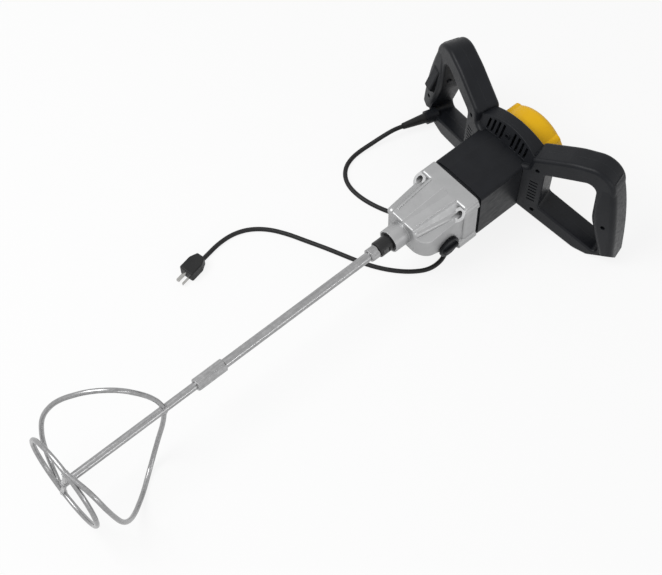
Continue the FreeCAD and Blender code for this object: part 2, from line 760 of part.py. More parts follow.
def make_sleeve():
    groove_start = fork_start() - SHELL_FIT
    groove_end = groove_start + FORK_THICKNESS + 2 * SHELL_FIT
    body = rod(SLEEVE_START, SLEEVE_END, SLEEVE_RADIUS)
    groove = tube(groove_start, groove_end, SLEEVE_RADIUS + 1.0, SLEEVE_GROOVE_RADIUS)
    dogs = [dog(k, SLEEVE_END, SLEEVE_END + DOG_LENGTH, 0.0, 0.0) for k in range(DOG_COUNT)]
    body = fuse_all([body.cut(groove)] + dogs)
    return body.cut(hex_prism(SLEEVE_START, SLEEVE_END + DOG_LENGTH, HEX_DRIVE_FLATS + 2 * RUNNING_FIT))


def fork_start():
    return SLEEVE_START + (SLEEVE_LENGTH - FORK_THICKNESS) / 2


def pin_place():
    return KNOB_X + SHIFT_TRAVEL


def make_fork():
    x0 = fork_start()
    x1 = x0 + FORK_THICKNESS
    inner = SLEEVE_GROOVE_RADIUS + SHELL_FIT
    outer = SLEEVE_RADIUS + FORK_PRONG
    jaw = tube(x0, x1, outer, inner).common(block(x0, x1, -outer, outer, -outer, 0.0))
    foot_y1 = SELECTOR_DISC_Y + SELECTOR_DISC_WIDTH + SELECTOR_PIN_LENGTH
    foot_y0 = foot_y1 - FORK_FOOT_WIDTH
    slot_half = SELECTOR_PIN_DIAMETER / 2 + SELECTOR_PIN_PLAY
    slot_top = KNOB_Z + slot_half
    foot_z0 = KNOB_Z - SHIFT_TRAVEL - SELECTOR_PIN_PLAY
    foot_z1 = slot_top + FORK_BRIDGE
    tail = block(x0, x1, -FORK_TAIL_WIDTH / 2, FORK_TAIL_WIDTH / 2, foot_z0, -inner)
    arm = block(x0, x1, foot_y0, 0.0, foot_z0, foot_z1)
    foot = block(pin_place() - slot_half - FORK_PRONG, x1, foot_y0, foot_y1, foot_z0, foot_z1)
    slot = block(pin_place() - slot_half, pin_place() + slot_half, foot_y0, foot_y1, foot_z0, slot_top)
    hub_start = x0 - FORK_HUB_REACH
    hub_end = x1 + FORK_HUB_REACH
    hub = rod(hub_start, hub_end, RAIL_DIAMETER / 2 + FORK_HUB_WALL, 0.0, RAIL_Z)
    body = fuse_all([jaw, tail, arm, foot.cut(slot), hub])
    return cut_all(body, [rod(hub_start, hub_end, RAIL_DIAMETER / 2 + RUNNING_FIT, 0.0, RAIL_Z),
                          rod(hub_start, hub_end, inner)])


def make_rail():
    start = fork_start() - FORK_HUB_REACH - SHIFT_TRAVEL - PLATE_GAP
    return rod(start, PLATE_FRONT + RAIL_BITE, RAIL_DIAMETER / 2, 0.0, RAIL_Z)


def along_y(y0, y1, radius, x, z):
    return Part.makeCylinder(radius, y1 - y0, V(x, y0, z), Y_AXIS)


def make_selector():
    knob = along_y(KNOB_FACE_Y, KNOB_BACK_Y, KNOB_DIAMETER / 2, KNOB_X, KNOB_Z)
    knob = knob.makeChamfer(KNOB_CHAMFER, [e for e in knob.Edges if e.BoundBox.YMax < KNOB_FACE_Y + 0.1])
    half_length = KNOB_BAR_LENGTH / 2
    half_width = KNOB_BAR_WIDTH / 2
    bar_face = KNOB_FACE_Y - KNOB_BAR_HEIGHT
    bar = block(KNOB_X - half_length, KNOB_X + half_length, bar_face, KNOB_BACK_Y, KNOB_Z - half_width,
                KNOB_Z + half_width)
    bar = bar.makeFillet(2 * KNOB_CHAMFER, [e for e in bar.Edges if e.BoundBox.YMax < KNOB_BACK_Y - 0.1])
    stem = SELECTOR_SHAFT_DIAMETER / 2
    socket_end = KNOB_BACK_Y - KNOB_SOCKET
    knob = fuse_all([knob, bar]).cut(along_y(socket_end, KNOB_BACK_Y, stem + SEAT_FIT, KNOB_X, KNOB_Z))
    disc_end = SELECTOR_DISC_Y + SELECTOR_DISC_WIDTH
    pin = SELECTOR_PIN_DIAMETER / 2
    shaft = fuse_all([
        along_y(socket_end, SELECTOR_DISC_Y, stem, KNOB_X, KNOB_Z),
        along_y(SELECTOR_DISC_Y, disc_end, SHIFT_TRAVEL + pin + SHAFT_STEP, KNOB_X, KNOB_Z),
        along_y(disc_end, disc_end + SELECTOR_PIN_LENGTH, pin, pin_place(), KNOB_Z),
    ])
    return knob, shaft


# Gear case and bearing plate

def taper_outline(x, half, deck, low, high, shoulder, inset):
    slope = math.atan2(shoulder, half - deck)
    inner_half = half - inset
    inner_deck = deck - inset * math.tan(slope / 2)
    corner_z = high - shoulder - inset * math.tan(math.pi / 4 - slope / 2)
    points = [(inner_deck, high - inset), (inner_half, corner_z), (inner_half, low + inset)]
    points += [(-y, z) for y, z in reversed(points)]
    rounds = [DECK_ROUND, SHOULDER_ROUND - inset / 2, SHOULDER_ROUND - inset / 2]
    return closed_outline([V(x, y, z) for y, z in points], rounds + rounds[::-1])


def case_body(inset, rise=0.0):
    nose = taper_outline(NOSE_FRONT + inset, NOSE_HALF_WIDTH, NOSE_DECK_HALF_WIDTH, NOSE_BOTTOM,
                         NOSE_TOP + rise, NOSE_SHOULDER, inset)
    back = taper_outline(BOX_FRONT, TAPER_HALF_WIDTH, TAPER_DECK_HALF_WIDTH, TAPER_BOTTOM,
                         HOUSING_TOP + rise, TAPER_SHOULDER, inset)
    taper = Part.makeLoft([nose, back], True, True)
    if inset == 0.0:
        taper = taper.makeFillet(NOSE_ROUND, edges_at_x(taper, NOSE_FRONT))
    return taper.fuse(Part.Face(back).extrude(V(BOX_ROUND + CASE_WALL, 0, 0)))


def box_section(x0, x1, inset, radius):
    half = HOUSING_WIDTH / 2 - inset
    low = HOUSING_BOTTOM + inset
    high = HOUSING_TOP - inset
    corners = [V(x0, -half, low), V(x0, half, low), V(x0, half, high), V(x0, -half, high)]
    return Part.Face(closed_outline(corners, [radius] * 4)).extrude(V(x1 - x0, 0, 0))


def case_screw_places():
    return [(side * CASE_SCREW_Y, z) for side in (1, -1) for z in (CASE_SCREW_TOP_Z, CASE_SCREW_BOTTOM_Z)]


def lobe(inset):
    front = NOSE_FRONT + inset
    reach = -LOBE_REACH + inset
    corners = [V(front, 0, -FAR / 2), V(front, reach, -FAR / 2), V(BOX_FRONT, reach, -FAR / 2),
               V(BOX_FRONT, 0, -FAR / 2)]
    outline = closed_outline(corners, [0.0, LOBE_CORNER - inset, 0.0, 0.0])
    column = Part.Face(outline).extrude(V(0, 0, FAR))
    inner_front = V(NOSE_FRONT, -NOSE_DECK_HALF_WIDTH - RIB_INSET, LOBE_INNER_Z)
    inner_back = V(BOX_FRONT, -TAPER_HALF_WIDTH + CASE_WALL, LOBE_INNER_Z)
    outer_front = V(NOSE_FRONT, -LOBE_REACH, LOBE_EDGE_Z)
    up = (outer_front - inner_front).cross(inner_back - inner_front).normalize()
    down = V(TAPER_BOTTOM - NOSE_BOTTOM, 0, NOSE_FRONT - BOX_FRONT).normalize()
    top = inner_front - up * inset
    bottom = V(NOSE_FRONT, 0, NOSE_BOTTOM) - down * inset
    solid = cut_all(column, [beyond(top, up), beyond(bottom, down)])
    if inset > 0.0:
        return solid
    rim = []
    for edge in solid.Edges:
        middle = edge.valueAt((edge.FirstParameter + edge.LastParameter) / 2)
        on_top = abs((middle - top).dot(up)) < 0.01
        if on_top and middle.y < -NOSE_DECK_HALF_WIDTH and middle.x < BOX_FRONT - 1.0:
            rim.append(edge)
    return solid.makeFillet(LOBE_ROUND, rim)


def deck_rib(side):
    start = V(NOSE_FRONT + 4 * RIB_INSET, side * (NOSE_DECK_HALF_WIDTH - RIB_INSET), NOSE_SHOULDER)
    end = V(BOX_FRONT, side * (TAPER_DECK_HALF_WIDTH - RIB_INSET), NOSE_SHOULDER)
    across = (end - start).cross(Z_AXIS).normalize() * (RIB_WIDTH / 2)
    corners = [start + across, end + across, end - across, start - across]
    face = Part.Face(Part.makePolygon(corners + corners[:1]))
    return face.extrude(V(0, 0, FAR)).common(case_body(0.0, RIB_HEIGHT))


def case_boss(y, z):
    if z < CASE_SCREW_TOP_Z:
        return rod(CASE_BOSS_FRONT, CASE_REAR, CASE_BOSS_RADIUS, y, z)
    whole = rod(CASE_BOSS_FRONT - CASE_BOSS_RADIUS, CASE_REAR, CASE_BOSS_RADIUS, y, z)
    return whole.cut(beyond(V(CASE_BOSS_FRONT, y, z), V(-1, 0, 1).normalize()))


def fairing(front, rear, radius):
    start = V(NOSE_FRONT + radius, *front)
    run = V(BOX_FRONT + CASE_WALL, *rear) - start
    return Part.makeCylinder(radius, run.Length, start, run).fuse(Part.makeSphere(radius, start))


def make_case():
    box = box_section(BOX_FRONT, CASE_REAR, 0.0, CASE_CORNER)
    knob_boss_end = KNOB_BACK_Y + KNOB_BOSS_DEPTH
    outer = [
        case_body(0.0),
        box.makeFillet(BOX_ROUND, edges_at_x(box, BOX_FRONT)),
        lobe(0.0),
        rod(COLLAR_FRONT, NOSE_FRONT + CASE_WALL, COLLAR_DIAMETER / 2),
        along_y(KNOB_BACK_Y + SHELL_FIT, knob_boss_end, KNOB_BOSS_RADIUS, KNOB_X, KNOB_Z),
        deck_rib(1),
        deck_rib(-1),
        fairing(*LEFT_FAIRING),
        fairing(*RIGHT_FAIRING),
    ]
    bosses = [case_boss(y, z) for y, z in case_screw_places()]
    body = fuse_all(outer + bosses)
    cavity = fuse_all([
        case_body(CASE_WALL),
        box_section(BOX_FRONT + CASE_WALL, PLATE_FRONT, CASE_WALL + SEAT_LEDGE, CASE_CORNER - SEAT_LEDGE),
        box_section(PLATE_FRONT, CASE_REAR, CASE_WALL, CASE_CORNER - SEAT_LEDGE),
        lobe(CASE_WALL),
        along_y(KNOB_BACK_Y + CASE_WALL, knob_boss_end - CASE_WALL, KNOB_BOSS_RADIUS - CASE_WALL,
                KNOB_X, KNOB_Z),
    ])
    bearing_radius = SMALL_BEARING_DIAMETER / 2
    web_front = COUNTER_BEARING_START - PLATE_GAP
    ring = rod(web_front, COUNTER_BEARING_END, bearing_radius + CASE_WALL, COUNTER_Y, COUNTER_Z)
    web = block(web_front, COUNTER_BEARING_END, -LOBE_REACH, COUNTER_Y - bearing_radius,
                COUNTER_Z - bearing_radius, COUNTER_Z + bearing_radius)
    body = body.cut(cut_all(cavity, bosses + [ring, web]))
    cutters = [
        rod(COLLAR_FRONT, SEAL_END, SEAL_DIAMETER / 2 + SEAT_FIT),
        rod(COLLAR_FRONT, FRONT_BEARING_START, SPINDLE_DIAMETER / 2 + SHELL_FIT),
        rod(FRONT_BEARING_START, NOSE_FRONT + CASE_WALL, FRONT_BEARING_DIAMETER / 2 + SEAT_FIT),
        rod(COUNTER_BEARING_START, COUNTER_BEARING_END, bearing_radius + SEAT_FIT, COUNTER_Y, COUNTER_Z),
        along_y(KNOB_BACK_Y, KNOB_BACK_Y + 2 * CASE_WALL, SELECTOR_SHAFT_DIAMETER / 2 + RUNNING_FIT,
                KNOB_X, KNOB_Z),
    ]
    head_end = CASE_BOSS_FRONT + CASE_HEAD_DEPTH
    mouth = CASE_BOSS_FRONT - 2 * CASE_BOSS_RADIUS
    for y, z in case_screw_places():
        cutters.append(rod(mouth, head_end, CASE_SCREW_HEAD / 2 + SHELL_FIT, y, z))
        cutters.append(rod(head_end, CASE_REAR, CASE_SCREW_DIAMETER / 2 + SEAT_FIT, y, z))
    return cut_all(body, cutters)


def make_plate():
    body = box_section(PLATE_FRONT, CASE_REAR, CASE_WALL + MOUTH_FIT, CASE_CORNER - SEAT_LEDGE)
    boss = rod(CASE_REAR, ARMATURE_BEARING_END, plate_boss_radius(), MOTOR_Y, MOTOR_Z)
    small = SMALL_BEARING_DIAMETER / 2 + SEAT_FIT
    pocket = PLATE_FRONT + SMALL_BEARING_WIDTH
    cutters = [
        rod(PLATE_FRONT, pocket, small),
        rod(PLATE_FRONT, pocket, small, COUNTER_Y, COUNTER_Z),
        rod(ARMATURE_BEARING_START, ARMATURE_BEARING_END, ARMATURE_BEARING_DIAMETER / 2 + SEAT_FIT,
            MOTOR_Y, MOTOR_Z),
        rod(PLATE_FRONT, ARMATURE_BEARING_END, ARMATURE_SHAFT_DIAMETER / 2 + PLATE_GAP, MOTOR_Y, MOTOR_Z),
        rod(PLATE_FRONT, PLATE_FRONT + RAIL_BITE, RAIL_DIAMETER / 2 + SEAT_FIT, 0.0, RAIL_Z),
    ]
    for y, z in case_screw_places():
        cutters.append(rod(PLATE_FRONT, CASE_REAR, CASE_BOSS_RADIUS + MOUTH_FIT, y, z))
    return cut_all(fuse_all([body, boss]), cutters)


def plate_boss_radius():
    return ARMATURE_BEARING_DIAMETER / 2 + CASE_WALL


def bearing(x0, width, outer, bore, y=0.0, z=0.0):
    lips = []
    for start in (x0, x0 + width - BEARING_GROOVE):
        lips.append(tube(start, start + BEARING_GROOVE, outer - BEARING_RACE, bore + BEARING_RACE, y, z))
    return cut_all(tube(x0, x0 + width, outer, bore, y, z), lips)


# Motor housing and motor

def housing_outline(x, inset):
    half = HOUSING_WIDTH / 2 - inset
    top = HOUSING_TOP - inset
    low = HOUSING_BOTTOM + inset
    drop = FACET_DROP
    flat = FACET_HALF_WIDTH
    points = [(flat, top), (half, top - drop), (half, low + drop), (flat, low),
              (-flat, low), (-half, low + drop), (-half, top - drop), (-flat, top)]
    radius = CASE_CORNER - inset / 2
    radii = [0.0, radius, radius, 0.0, 0.0, radius, radius, 0.0]
    return closed_outline([V(x, y, z) for y, z in points], radii)


def housing_solid(x0, x1, inset):
    return Part.Face(housing_outline(x0, inset)).extrude(V(x1 - x0, 0, 0))


def make_housing():
    inner = HOUSING_FRONT + HOUSING_WALL
    neck = housing_solid(HOUSING_FRONT, inner, HOUSING_REBATE_DEPTH)
    body = housing_solid(inner, HOUSING_REAR, 0.0).fuse(neck)
    cavity = housing_solid(inner, HOUSING_REAR, HOUSING_WALL)
    keep = [rod(inner, inner + CASE_SCREW_BITE, HOUSING_BOSS_RADIUS, y, z) for y, z in case_screw_places()]
    seat = STATOR_OUTER_RADIUS + SEAT_FIT
    half = STATOR_RIB_WIDTH / 2
    bore = rod(CORE_START, CORE_END, seat, MOTOR_Y, MOTOR_Z)
    for turn in range(4):
        rib = block(CORE_START, CORE_END, seat - HOUSING_WALL, HOUSING_HEIGHT, MOTOR_Z - half, MOTOR_Z + half)
        keep.append(turned(rib, 90 * turn, MOTOR_Y, MOTOR_Z).cut(bore))
    body = body.cut(cut_all(cavity, keep))
    cutters = [rod(HOUSING_FRONT, inner, plate_boss_radius() + MOUTH_FIT, MOTOR_Y, MOTOR_Z)]
    for y, z in case_screw_places():
        cutters.append(rod(HOUSING_FRONT, inner + CASE_SCREW_BITE, CASE_SCREW_DIAMETER / 2 + SEAT_FIT, y, z))
    return cut_all(body, cutters)


def make_gasket():
    body = box_section(CASE_REAR, HOUSING_FRONT, GASKET_INSET, CASE_CORNER - SEAT_LEDGE)
    cutters = [rod(CASE_REAR, HOUSING_FRONT, plate_boss_radius() + MOUTH_FIT, MOTOR_Y, MOTOR_Z)]
    for y, z in case_screw_places():
        cutters.append(rod(CASE_REAR, HOUSING_FRONT, CASE_SCREW_DIAMETER / 2 + SEAT_FIT, y, z))
    return cut_all(body, cutters)


def make_case_screws():
    head_end = CASE_BOSS_FRONT + CASE_HEAD_DEPTH
    start = head_end - CASE_SCREW_HEAD_HEIGHT
    end = HOUSING_FRONT + HOUSING_WALL + CASE_SCREW_BITE - SHAFT_STEP
    screws = []
    for y, z in case_screw_places():
        head = rod(start, head_end, CASE_SCREW_HEAD / 2, y, z)
        socket = hex_prism(start, start + CASE_SCREW_HEAD_HEIGHT / 2, CASE_SCREW_SOCKET)
        head = head.cut(socket.translated(V(0, y, z)))
        screws.append(head.fuse(rod(head_end, end, CASE_SCREW_DIAMETER / 2, y, z)))
    return Part.makeCompound(screws)


def sector(x0, x1, outer, inner, start, end):
    ring = tube(x0, x1, outer, inner, MOTOR_Y, MOTOR_Z)
    wedge = Part.makeCylinder(2 * outer, x1 - x0, V(x0, MOTOR_Y, MOTOR_Z), X_AXIS, end - start)
    wedge.rotate(V(x0, MOTOR_Y, MOTOR_Z), X_AXIS, start)
    return ring.common(wedge)


def make_stator():
    bore = ARMATURE_DIAMETER / 2 + AIR_GAP
    shoe_back = bore + SHOE_THICKNESS
    parts = [tube(CORE_START, CORE_END, STATOR_OUTER_RADIUS, STATOR_INNER_RADIUS, MOTOR_Y, MOTOR_Z)]
    coils = []
    for turn in (0, 180):
        neck_start = turn - NECK_HALF_ANGLE
        neck_end = turn + NECK_HALF_ANGLE
        parts.append(sector(CORE_START, CORE_END, STATOR_INNER_RADIUS + SHAFT_STEP, shoe_back,
                            neck_start, neck_end))
        parts.append(sector(CORE_START, CORE_END, shoe_back, bore,
                            turn - POLE_HALF_ANGLE, turn + POLE_HALF_ANGLE))
        coil_outer = STATOR_INNER_RADIUS - SHELL_FIT
        coil_inner = shoe_back + SHELL_FIT
        coil = sector(CORE_START - COIL_OVERHANG, CORE_END + COIL_OVERHANG, coil_outer, coil_inner,
                      turn - COIL_HALF_ANGLE, turn + COIL_HALF_ANGLE)
        window = sector(CORE_START - SHAFT_STEP, CORE_END + SHAFT_STEP, STATOR_INNER_RADIUS, shoe_back,
                        neck_start - SHAFT_STEP, neck_end + SHAFT_STEP)
        coils.append(coil.cut(window))
    return fuse_all(parts), Part.makeCompound(coils)


def around_motor(shape, count):
    return [turned(shape, 360.0 * k / count, MOTOR_Y, MOTOR_Z) for k in range(count)]


def motor_slab(x0, x1, inner, outer, half_width):
    return block(x0, x1, inner, outer, MOTOR_Z - half_width, MOTOR_Z + half_width)


def make_armature_shaft():
    to_counter = towards(MOTOR_Y, MOTOR_Z, COUNTER_Y, COUNTER_Z)
    wheel_end = WHEEL_START + WHEEL_WIDTH
    pinion = gear(ARMATURE_TEETH, FIRST_MODULE, WHEEL_START - SHAFT_STEP, wheel_end + SHAFT_STEP,
                  MOTOR_Y, MOTOR_Z,
                  to_counter + math.pi / ARMATURE_TEETH)
    neck = FIRST_MODULE * (ARMATURE_TEETH / 2 - DEDENDUM)
    return fuse_all([
        pinion,
        rod(wheel_end, ARMATURE_BEARING_START, neck, MOTOR_Y, MOTOR_Z),
        rod(ARMATURE_BEARING_START, REAR_BEARING_START, ARMATURE_SHAFT_DIAMETER / 2, MOTOR_Y, MOTOR_Z),
        rod(REAR_BEARING_START, REAR_BEARING_END, SMALL_BEARING_BORE / 2 - SEAT_FIT, MOTOR_Y, MOTOR_Z),
    ])


def make_armature():
    shaft_radius = ARMATURE_SHAFT_DIAMETER / 2
    outer = ARMATURE_DIAMETER / 2
    slot_outer = outer - SLOT_COVER
    hole = shaft_radius + SEAT_FIT
    slot = motor_slab(CORE_START, CORE_END, SLOT_FLOOR_RADIUS, slot_outer, SLOT_HALF_WIDTH)
    mouth = motor_slab(CORE_START, CORE_END, SLOT_FLOOR_RADIUS, 2 * outer, SLOT_MOUTH_HALF_WIDTH)
    core = tube(CORE_START, CORE_END, outer, hole, MOTOR_Y, MOTOR_Z)
    core = cut_all(core, around_motor(slot, ARMATURE_SLOTS) + around_motor(mouth, ARMATURE_SLOTS))
    bar = motor_slab(CORE_START - PLATE_GAP, CORE_END + PLATE_GAP, SLOT_FLOOR_RADIUS + SHELL_FIT,
                     slot_outer - SHELL_FIT, SLOT_HALF_WIDTH - SHELL_FIT)
    coils = around_motor(bar, ARMATURE_SLOTS)
    knot_length = COIL_OVERHANG - SHAFT_STEP
    for start in (CORE_START - COIL_OVERHANG, CORE_END + SHAFT_STEP):
        knot = tube(start, start + knot_length, slot_outer - SHELL_FIT, shaft_radius + PLATE_GAP,
                    MOTOR_Y, MOTOR_Z)
        circles = [e for e in knot.Edges if isinstance(e.Curve, Part.Circle)]
        rims = [e for e in circles if e.Curve.Radius > SLOT_FLOOR_RADIUS]
        coils.append(knot.makeFillet(WINDING_ROUND, rims))
    commutator = tube(COMMUTATOR_START, COMMUTATOR_END, COMMUTATOR_RADIUS, hole, MOTOR_Y, MOTOR_Z)
    slit = motor_slab(COMMUTATOR_START, COMMUTATOR_END, COMMUTATOR_RADIUS - SHAFT_STEP,
                      COMMUTATOR_RADIUS + SHAFT_STEP, SLIT_HALF_WIDTH)
    commutator = cut_all(commutator, around_motor(slit, 2 * ARMATURE_SLOTS))
    return core, fuse_all(coils), commutator


def make_fan():
    shaft_radius = ARMATURE_SHAFT_DIAMETER / 2
    hole = shaft_radius + SEAT_FIT
    end = FAN_START + FAN_WIDTH
    disc = tube(FAN_START, FAN_START + FAN_DISC, FAN_RADIUS, hole, MOTOR_Y, MOTOR_Z)
    hub = tube(FAN_START, end, shaft_radius + FAN_HUB_WALL, hole, MOTOR_Y, MOTOR_Z)
    tip = FAN_RADIUS - SHELL_FIT
    blade = motor_slab(FAN_START + FAN_DISC / 2, end, FAN_EYE_RADIUS, tip, FAN_BLADE_HALF_WIDTH)
    return fuse_all([disc, hub] + around_motor(blade, FAN_BLADES))


def make_bracket():
    plate_end = HOUSING_REAR + BRACKET_THICKNESS
    plate = housing_solid(HOUSING_REAR, plate_end, SHAFT_STEP)
    plate = plate.cut(rod(HOUSING_REAR, plate_end, BRACKET_BORE_RADIUS, MOTOR_Y, MOTOR_Z))
    seat_start = REAR_BEARING_START - PLATE_GAP
    seat_radius = SMALL_BEARING_DIAMETER / 2
    half = BRACKET_HALF_WIDTH
    reach = BRACKET_REACH
    seat = rod(seat_start, REAR_BEARING_END, seat_radius + BRACKET_THICKNESS, MOTOR_Y, MOTOR_Z)
    bridge = block(seat_start, REAR_BEARING_END, -half, half, MOTOR_Z - reach, MOTOR_Z + reach)
    upper = block(plate_end, REAR_BEARING_END, -half, half, MOTOR_Z + reach - BRACKET_LEG, MOTOR_Z + reach)
    lower = block(plate_end, REAR_BEARING_END, -half, half, MOTOR_Z - reach, MOTOR_Z - reach + BRACKET_LEG)
    return cut_all(fuse_all([plate, seat, bridge, upper, lower]), [
        rod(REAR_BEARING_START, REAR_BEARING_END, seat_radius + SEAT_FIT, MOTOR_Y, MOTOR_Z),
        rod(seat_start, REAR_BEARING_END, ARMATURE_SHAFT_DIAMETER / 2 + PLATE_GAP, MOTOR_Y, MOTOR_Z),
    ])


def make_brushes():
    middle = (COMMUTATOR_START + COMMUTATOR_END) / 2
    inner = COMMUTATOR_RADIUS + RUNNING_FIT
    holder_inner = COMMUTATOR_RADIUS + PLATE_GAP
    x0 = middle - BRUSH_WIDTH / 2
    x1 = middle + BRUSH_WIDTH / 2
    half = BRUSH_THICKNESS / 2
    spring_start = inner + BRUSH_LENGTH
    spring_end = HOLDER_REACH - HOLDER_WALL
    brush = motor_slab(x0, x1, COMMUTATOR_RADIUS - PLATE_GAP, spring_start, half)
    brush = brush.cut(rod(x0, x1, inner, MOTOR_Y, MOTOR_Z))
    box = motor_slab(x0 - HOLDER_WALL, x1 + HOLDER_WALL, holder_inner, HOLDER_REACH, half + HOLDER_WALL)
    channel = motor_slab(x0 - SEAT_FIT, x1 + SEAT_FIT, holder_inner, spring_end, half + SEAT_FIT)
    foot = motor_slab(HOUSING_REAR + BRACKET_THICKNESS, x0, HOLDER_FOOT_REACH, HOLDER_REACH, half)
    spring_place = V(middle, spring_start, MOTOR_Z)
    spring = Part.makeCylinder(half - SHELL_FIT, spring_end - spring_start, spring_place, Y_AXIS)
    holder = fuse_all([box, foot]).cut(channel)
    return [Part.makeCompound(around_motor(shape, 2)) for shape in (holder, brush, spring)]


# Handle yoke

def loop_normal(side=1):
    return V(1, -LOOP_SWEEP * side, -LOOP_PITCH).normalize()


def on_loop(y, z, depth=0.0, side=1):
    place = V(LOOP_X + LOOP_SWEEP * y + LOOP_PITCH * z, side * y, z)
    return place + loop_normal(side) * depth


def loop_prism(corners, offset, half):
    outline = closed_outline([on_loop(y, z) for y, z, r in corners], [r for y, z, r in corners])
    if offset != 0:
        outline = outline.makeOffset2D(offset)
    outline.translate(loop_normal() * -half)
    return Part.Face(outline).extrude(loop_normal() * (2 * half))


def rims(solid, half):
    root = LOOP_OUTLINE[0][0] + LOOP_ROUND
    return [e for e in solid.Edges if abs(abs(edge_depth(e)) - half) < 0.01 and edge_middle(e).y > root]


def loop_solid(inset):
    half = LOOP_DEPTH / 2 - inset
    solid = loop_prism(LOOP_OUTLINE, -inset, half)
    outer = rims(solid, half)
    solid = solid.makeFillet(LOOP_ROUND - inset, outer)
    before = [edge_middle(e) for e in rims(solid, half)]
    solid = solid.cut(loop_prism(LOOP_OPENING, inset, LOOP_DEPTH))
    inner = [e for e in rims(solid, half) if min(edge_middle(e).distanceToPoint(m) for m in before) > 0.01]
    return solid.makeFillet(OPENING_ROUND - inset, inner)


def grip_section(z, share):
    middle = on_loop(grip_middle(z), z)
    across = grip_across()
    half = (along_line(GRIP_OUTER_TOP, GRIP_OUTER_BOTTOM, z) - grip_inner(z)) / 2 - GRIP_SINK
    deep = loop_normal() * (LOOP_DEPTH / 2 - GRIP_SINK + share * GRIP_SWELL)
    inside = across * -half
    outside = across * (half + share * GRIP_SWELL_OUTSIDE)
    front = middle - deep
    rear = middle + deep
    corners = [front + inside, front + outside, rear + outside, rear + inside]
    return closed_outline(corners, [GRIP_ROUND] * len(corners))


def grip_swell():
    return Part.makeLoft([grip_section(z, share) for z, share in GRIP_STATIONS], True)


def grip_heel(inset):
    first, second, third = [on_loop(y, z, depth) for y, z, depth in GRIP_HEEL]
    outward = (second - first).cross(third - first).normalize()
    return Part.makeCylinder(FAR / 2, FAR, first - outward * inset, outward)


def crown_top(y, inset=0.0):
    centre = HOUSING_TOP + CROWN_RISE - CROWN_ARCH_RADIUS
    return centre + math.sqrt((CROWN_ARCH_RADIUS - inset) ** 2 - y ** 2)


def crown_wall(z):
    return CROWN_FRONT + CROWN_LEAN * (z - HOUSING_TOP)


def crown_solid(inset):
    start = CROWN_FRONT + inset
    end = CROWN_REAR - inset
    half = CROWN_HALF_WIDTH - inset
    skirt = CAP_RADIUS + CROWN_SKIRT - inset
    high = crown_top(half, inset)
    low = MOTOR_Z - math.sqrt(skirt ** 2 - half ** 2)
    left_high = V(start, half, high)
    right_high = V(start, -half, high)
    left_low = V(start, half, low)
    right_low = V(start, -half, low)
    arch = Part.Arc(right_high, V(start, 0, crown_top(0.0, inset)), left_high).toShape()
    belly = Part.Arc(left_low, V(start, 0, MOTOR_Z - skirt), right_low).toShape()
    sides = [Part.makeLine(left_high, left_low), Part.makeLine(right_low, right_high)]
    body = Part.Face(Part.Wire([arch, sides[0], belly, sides[1]])).extrude(V(end - start, 0, 0))
    top = HOUSING_TOP + 2 * CROWN_RISE
    slant = inset * math.sqrt(1 + CROWN_LEAN ** 2)
    wedge = [
        (CROWN_FRONT - CROWN_OVERLAP, HOUSING_TOP),
        (crown_wall(HOUSING_TOP) + slant, HOUSING_TOP),
        (crown_wall(top) + slant, top),
        (CROWN_FRONT - CROWN_OVERLAP, top),
    ]
    corners = [V(x, -CROWN_ARCH_RADIUS, z) for x, z in wedge]
    front = Part.Face(Part.makePolygon(corners + corners[:1])).extrude(V(0, 2 * CROWN_ARCH_RADIUS, 0))
    body = body.cut(front)
    if inset > 0:
        return body
    rear_rim = [e for e in edges_at_x(body, end) if e.BoundBox.ZMin > HOUSING_TOP]
    lip = [e for e in body.Edges if e.BoundBox.ZMin > HOUSING_TOP and e.BoundBox.XMin > start
           and e.BoundBox.XMax < end and e.BoundBox.YLength > half]
    return body.makeFillet(CROWN_ROUND, rear_rim).makeFillet(LIP_ROUND, lip)


def half_space(front):
    middle = on_loop(0, 0)
    bend = V(CROWN_FRONT + CROWN_SPLIT, 0, 0)
    if front:
        return beyond(middle, loop_normal() * -1).fuse(beyond(bend, X_AXIS * -1))
    return beyond(middle, loop_normal()).common(beyond(bend, X_AXIS))


def screw_places(side):
    return COMMON_SCREWS + [LEFT_GRIP_SCREW if side > 0 else RIGHT_GRIP_SCREW]


def along_loop(y, z, depth0, depth1, radius, side):
    return Part.makeCylinder(radius, depth1 - depth0, on_loop(y, z, depth0, side), loop_normal(side))


def top_vents():
    cutters = []
    low = HOUSING_TOP + VENT_RISE
    for k in range(VENTS_PER_SIDE):
        y = TOP_VENT_START + TOP_VENT_PITCH * k
        high = crown_top(y, SHELL_WALL) - VENT_MARGIN
        half = VENT_WIDTH / 2
        slot = block(CROWN_FRONT, crown_wall(high) + SHELL_WALL, y - half, y + half, low, high)
        cutters += [slot, mirrored(slot)]
    return cutters


def side_vents():
    cutters = []
    through = LOOP_DEPTH / 2 + SHELL_WALL + PLATE_GAP
    for side in (1, -1):
        for k in range(SIDE_VENTS):
            high = SIDE_VENT_TOP_Z - SIDE_VENT_PITCH * k
            low = high - SIDE_VENT_WIDTH
            end = SIDE_VENT_Y + SIDE_VENT_LENGTH
            corners = [(SIDE_VENT_Y, low), (end, low), (end, high), (SIDE_VENT_Y, high), (SIDE_VENT_Y, low)]
            face = Part.Face(Part.makePolygon([on_loop(y, z, -LOOP_DEPTH, side) for y, z in corners]))
            cutters.append(face.extrude(loop_normal(side) * through))
    return cutters


def crown_hole(wall):
    height = HOUSING_TOP + CROWN_HOLE_RISE
    start = crown_wall(height) - CROWN_BOSS_PROUD
    return rod(start, start + CROWN_HOLE_DEPTH + wall, CROWN_HOLE_RADIUS + wall, 0.0, height)


def screw_boss(y, z, side):
    return along_loop(y, z, -LOOP_DEPTH / 2, LOOP_DEPTH / 2, HANDLE_BOSS_RADIUS, side)


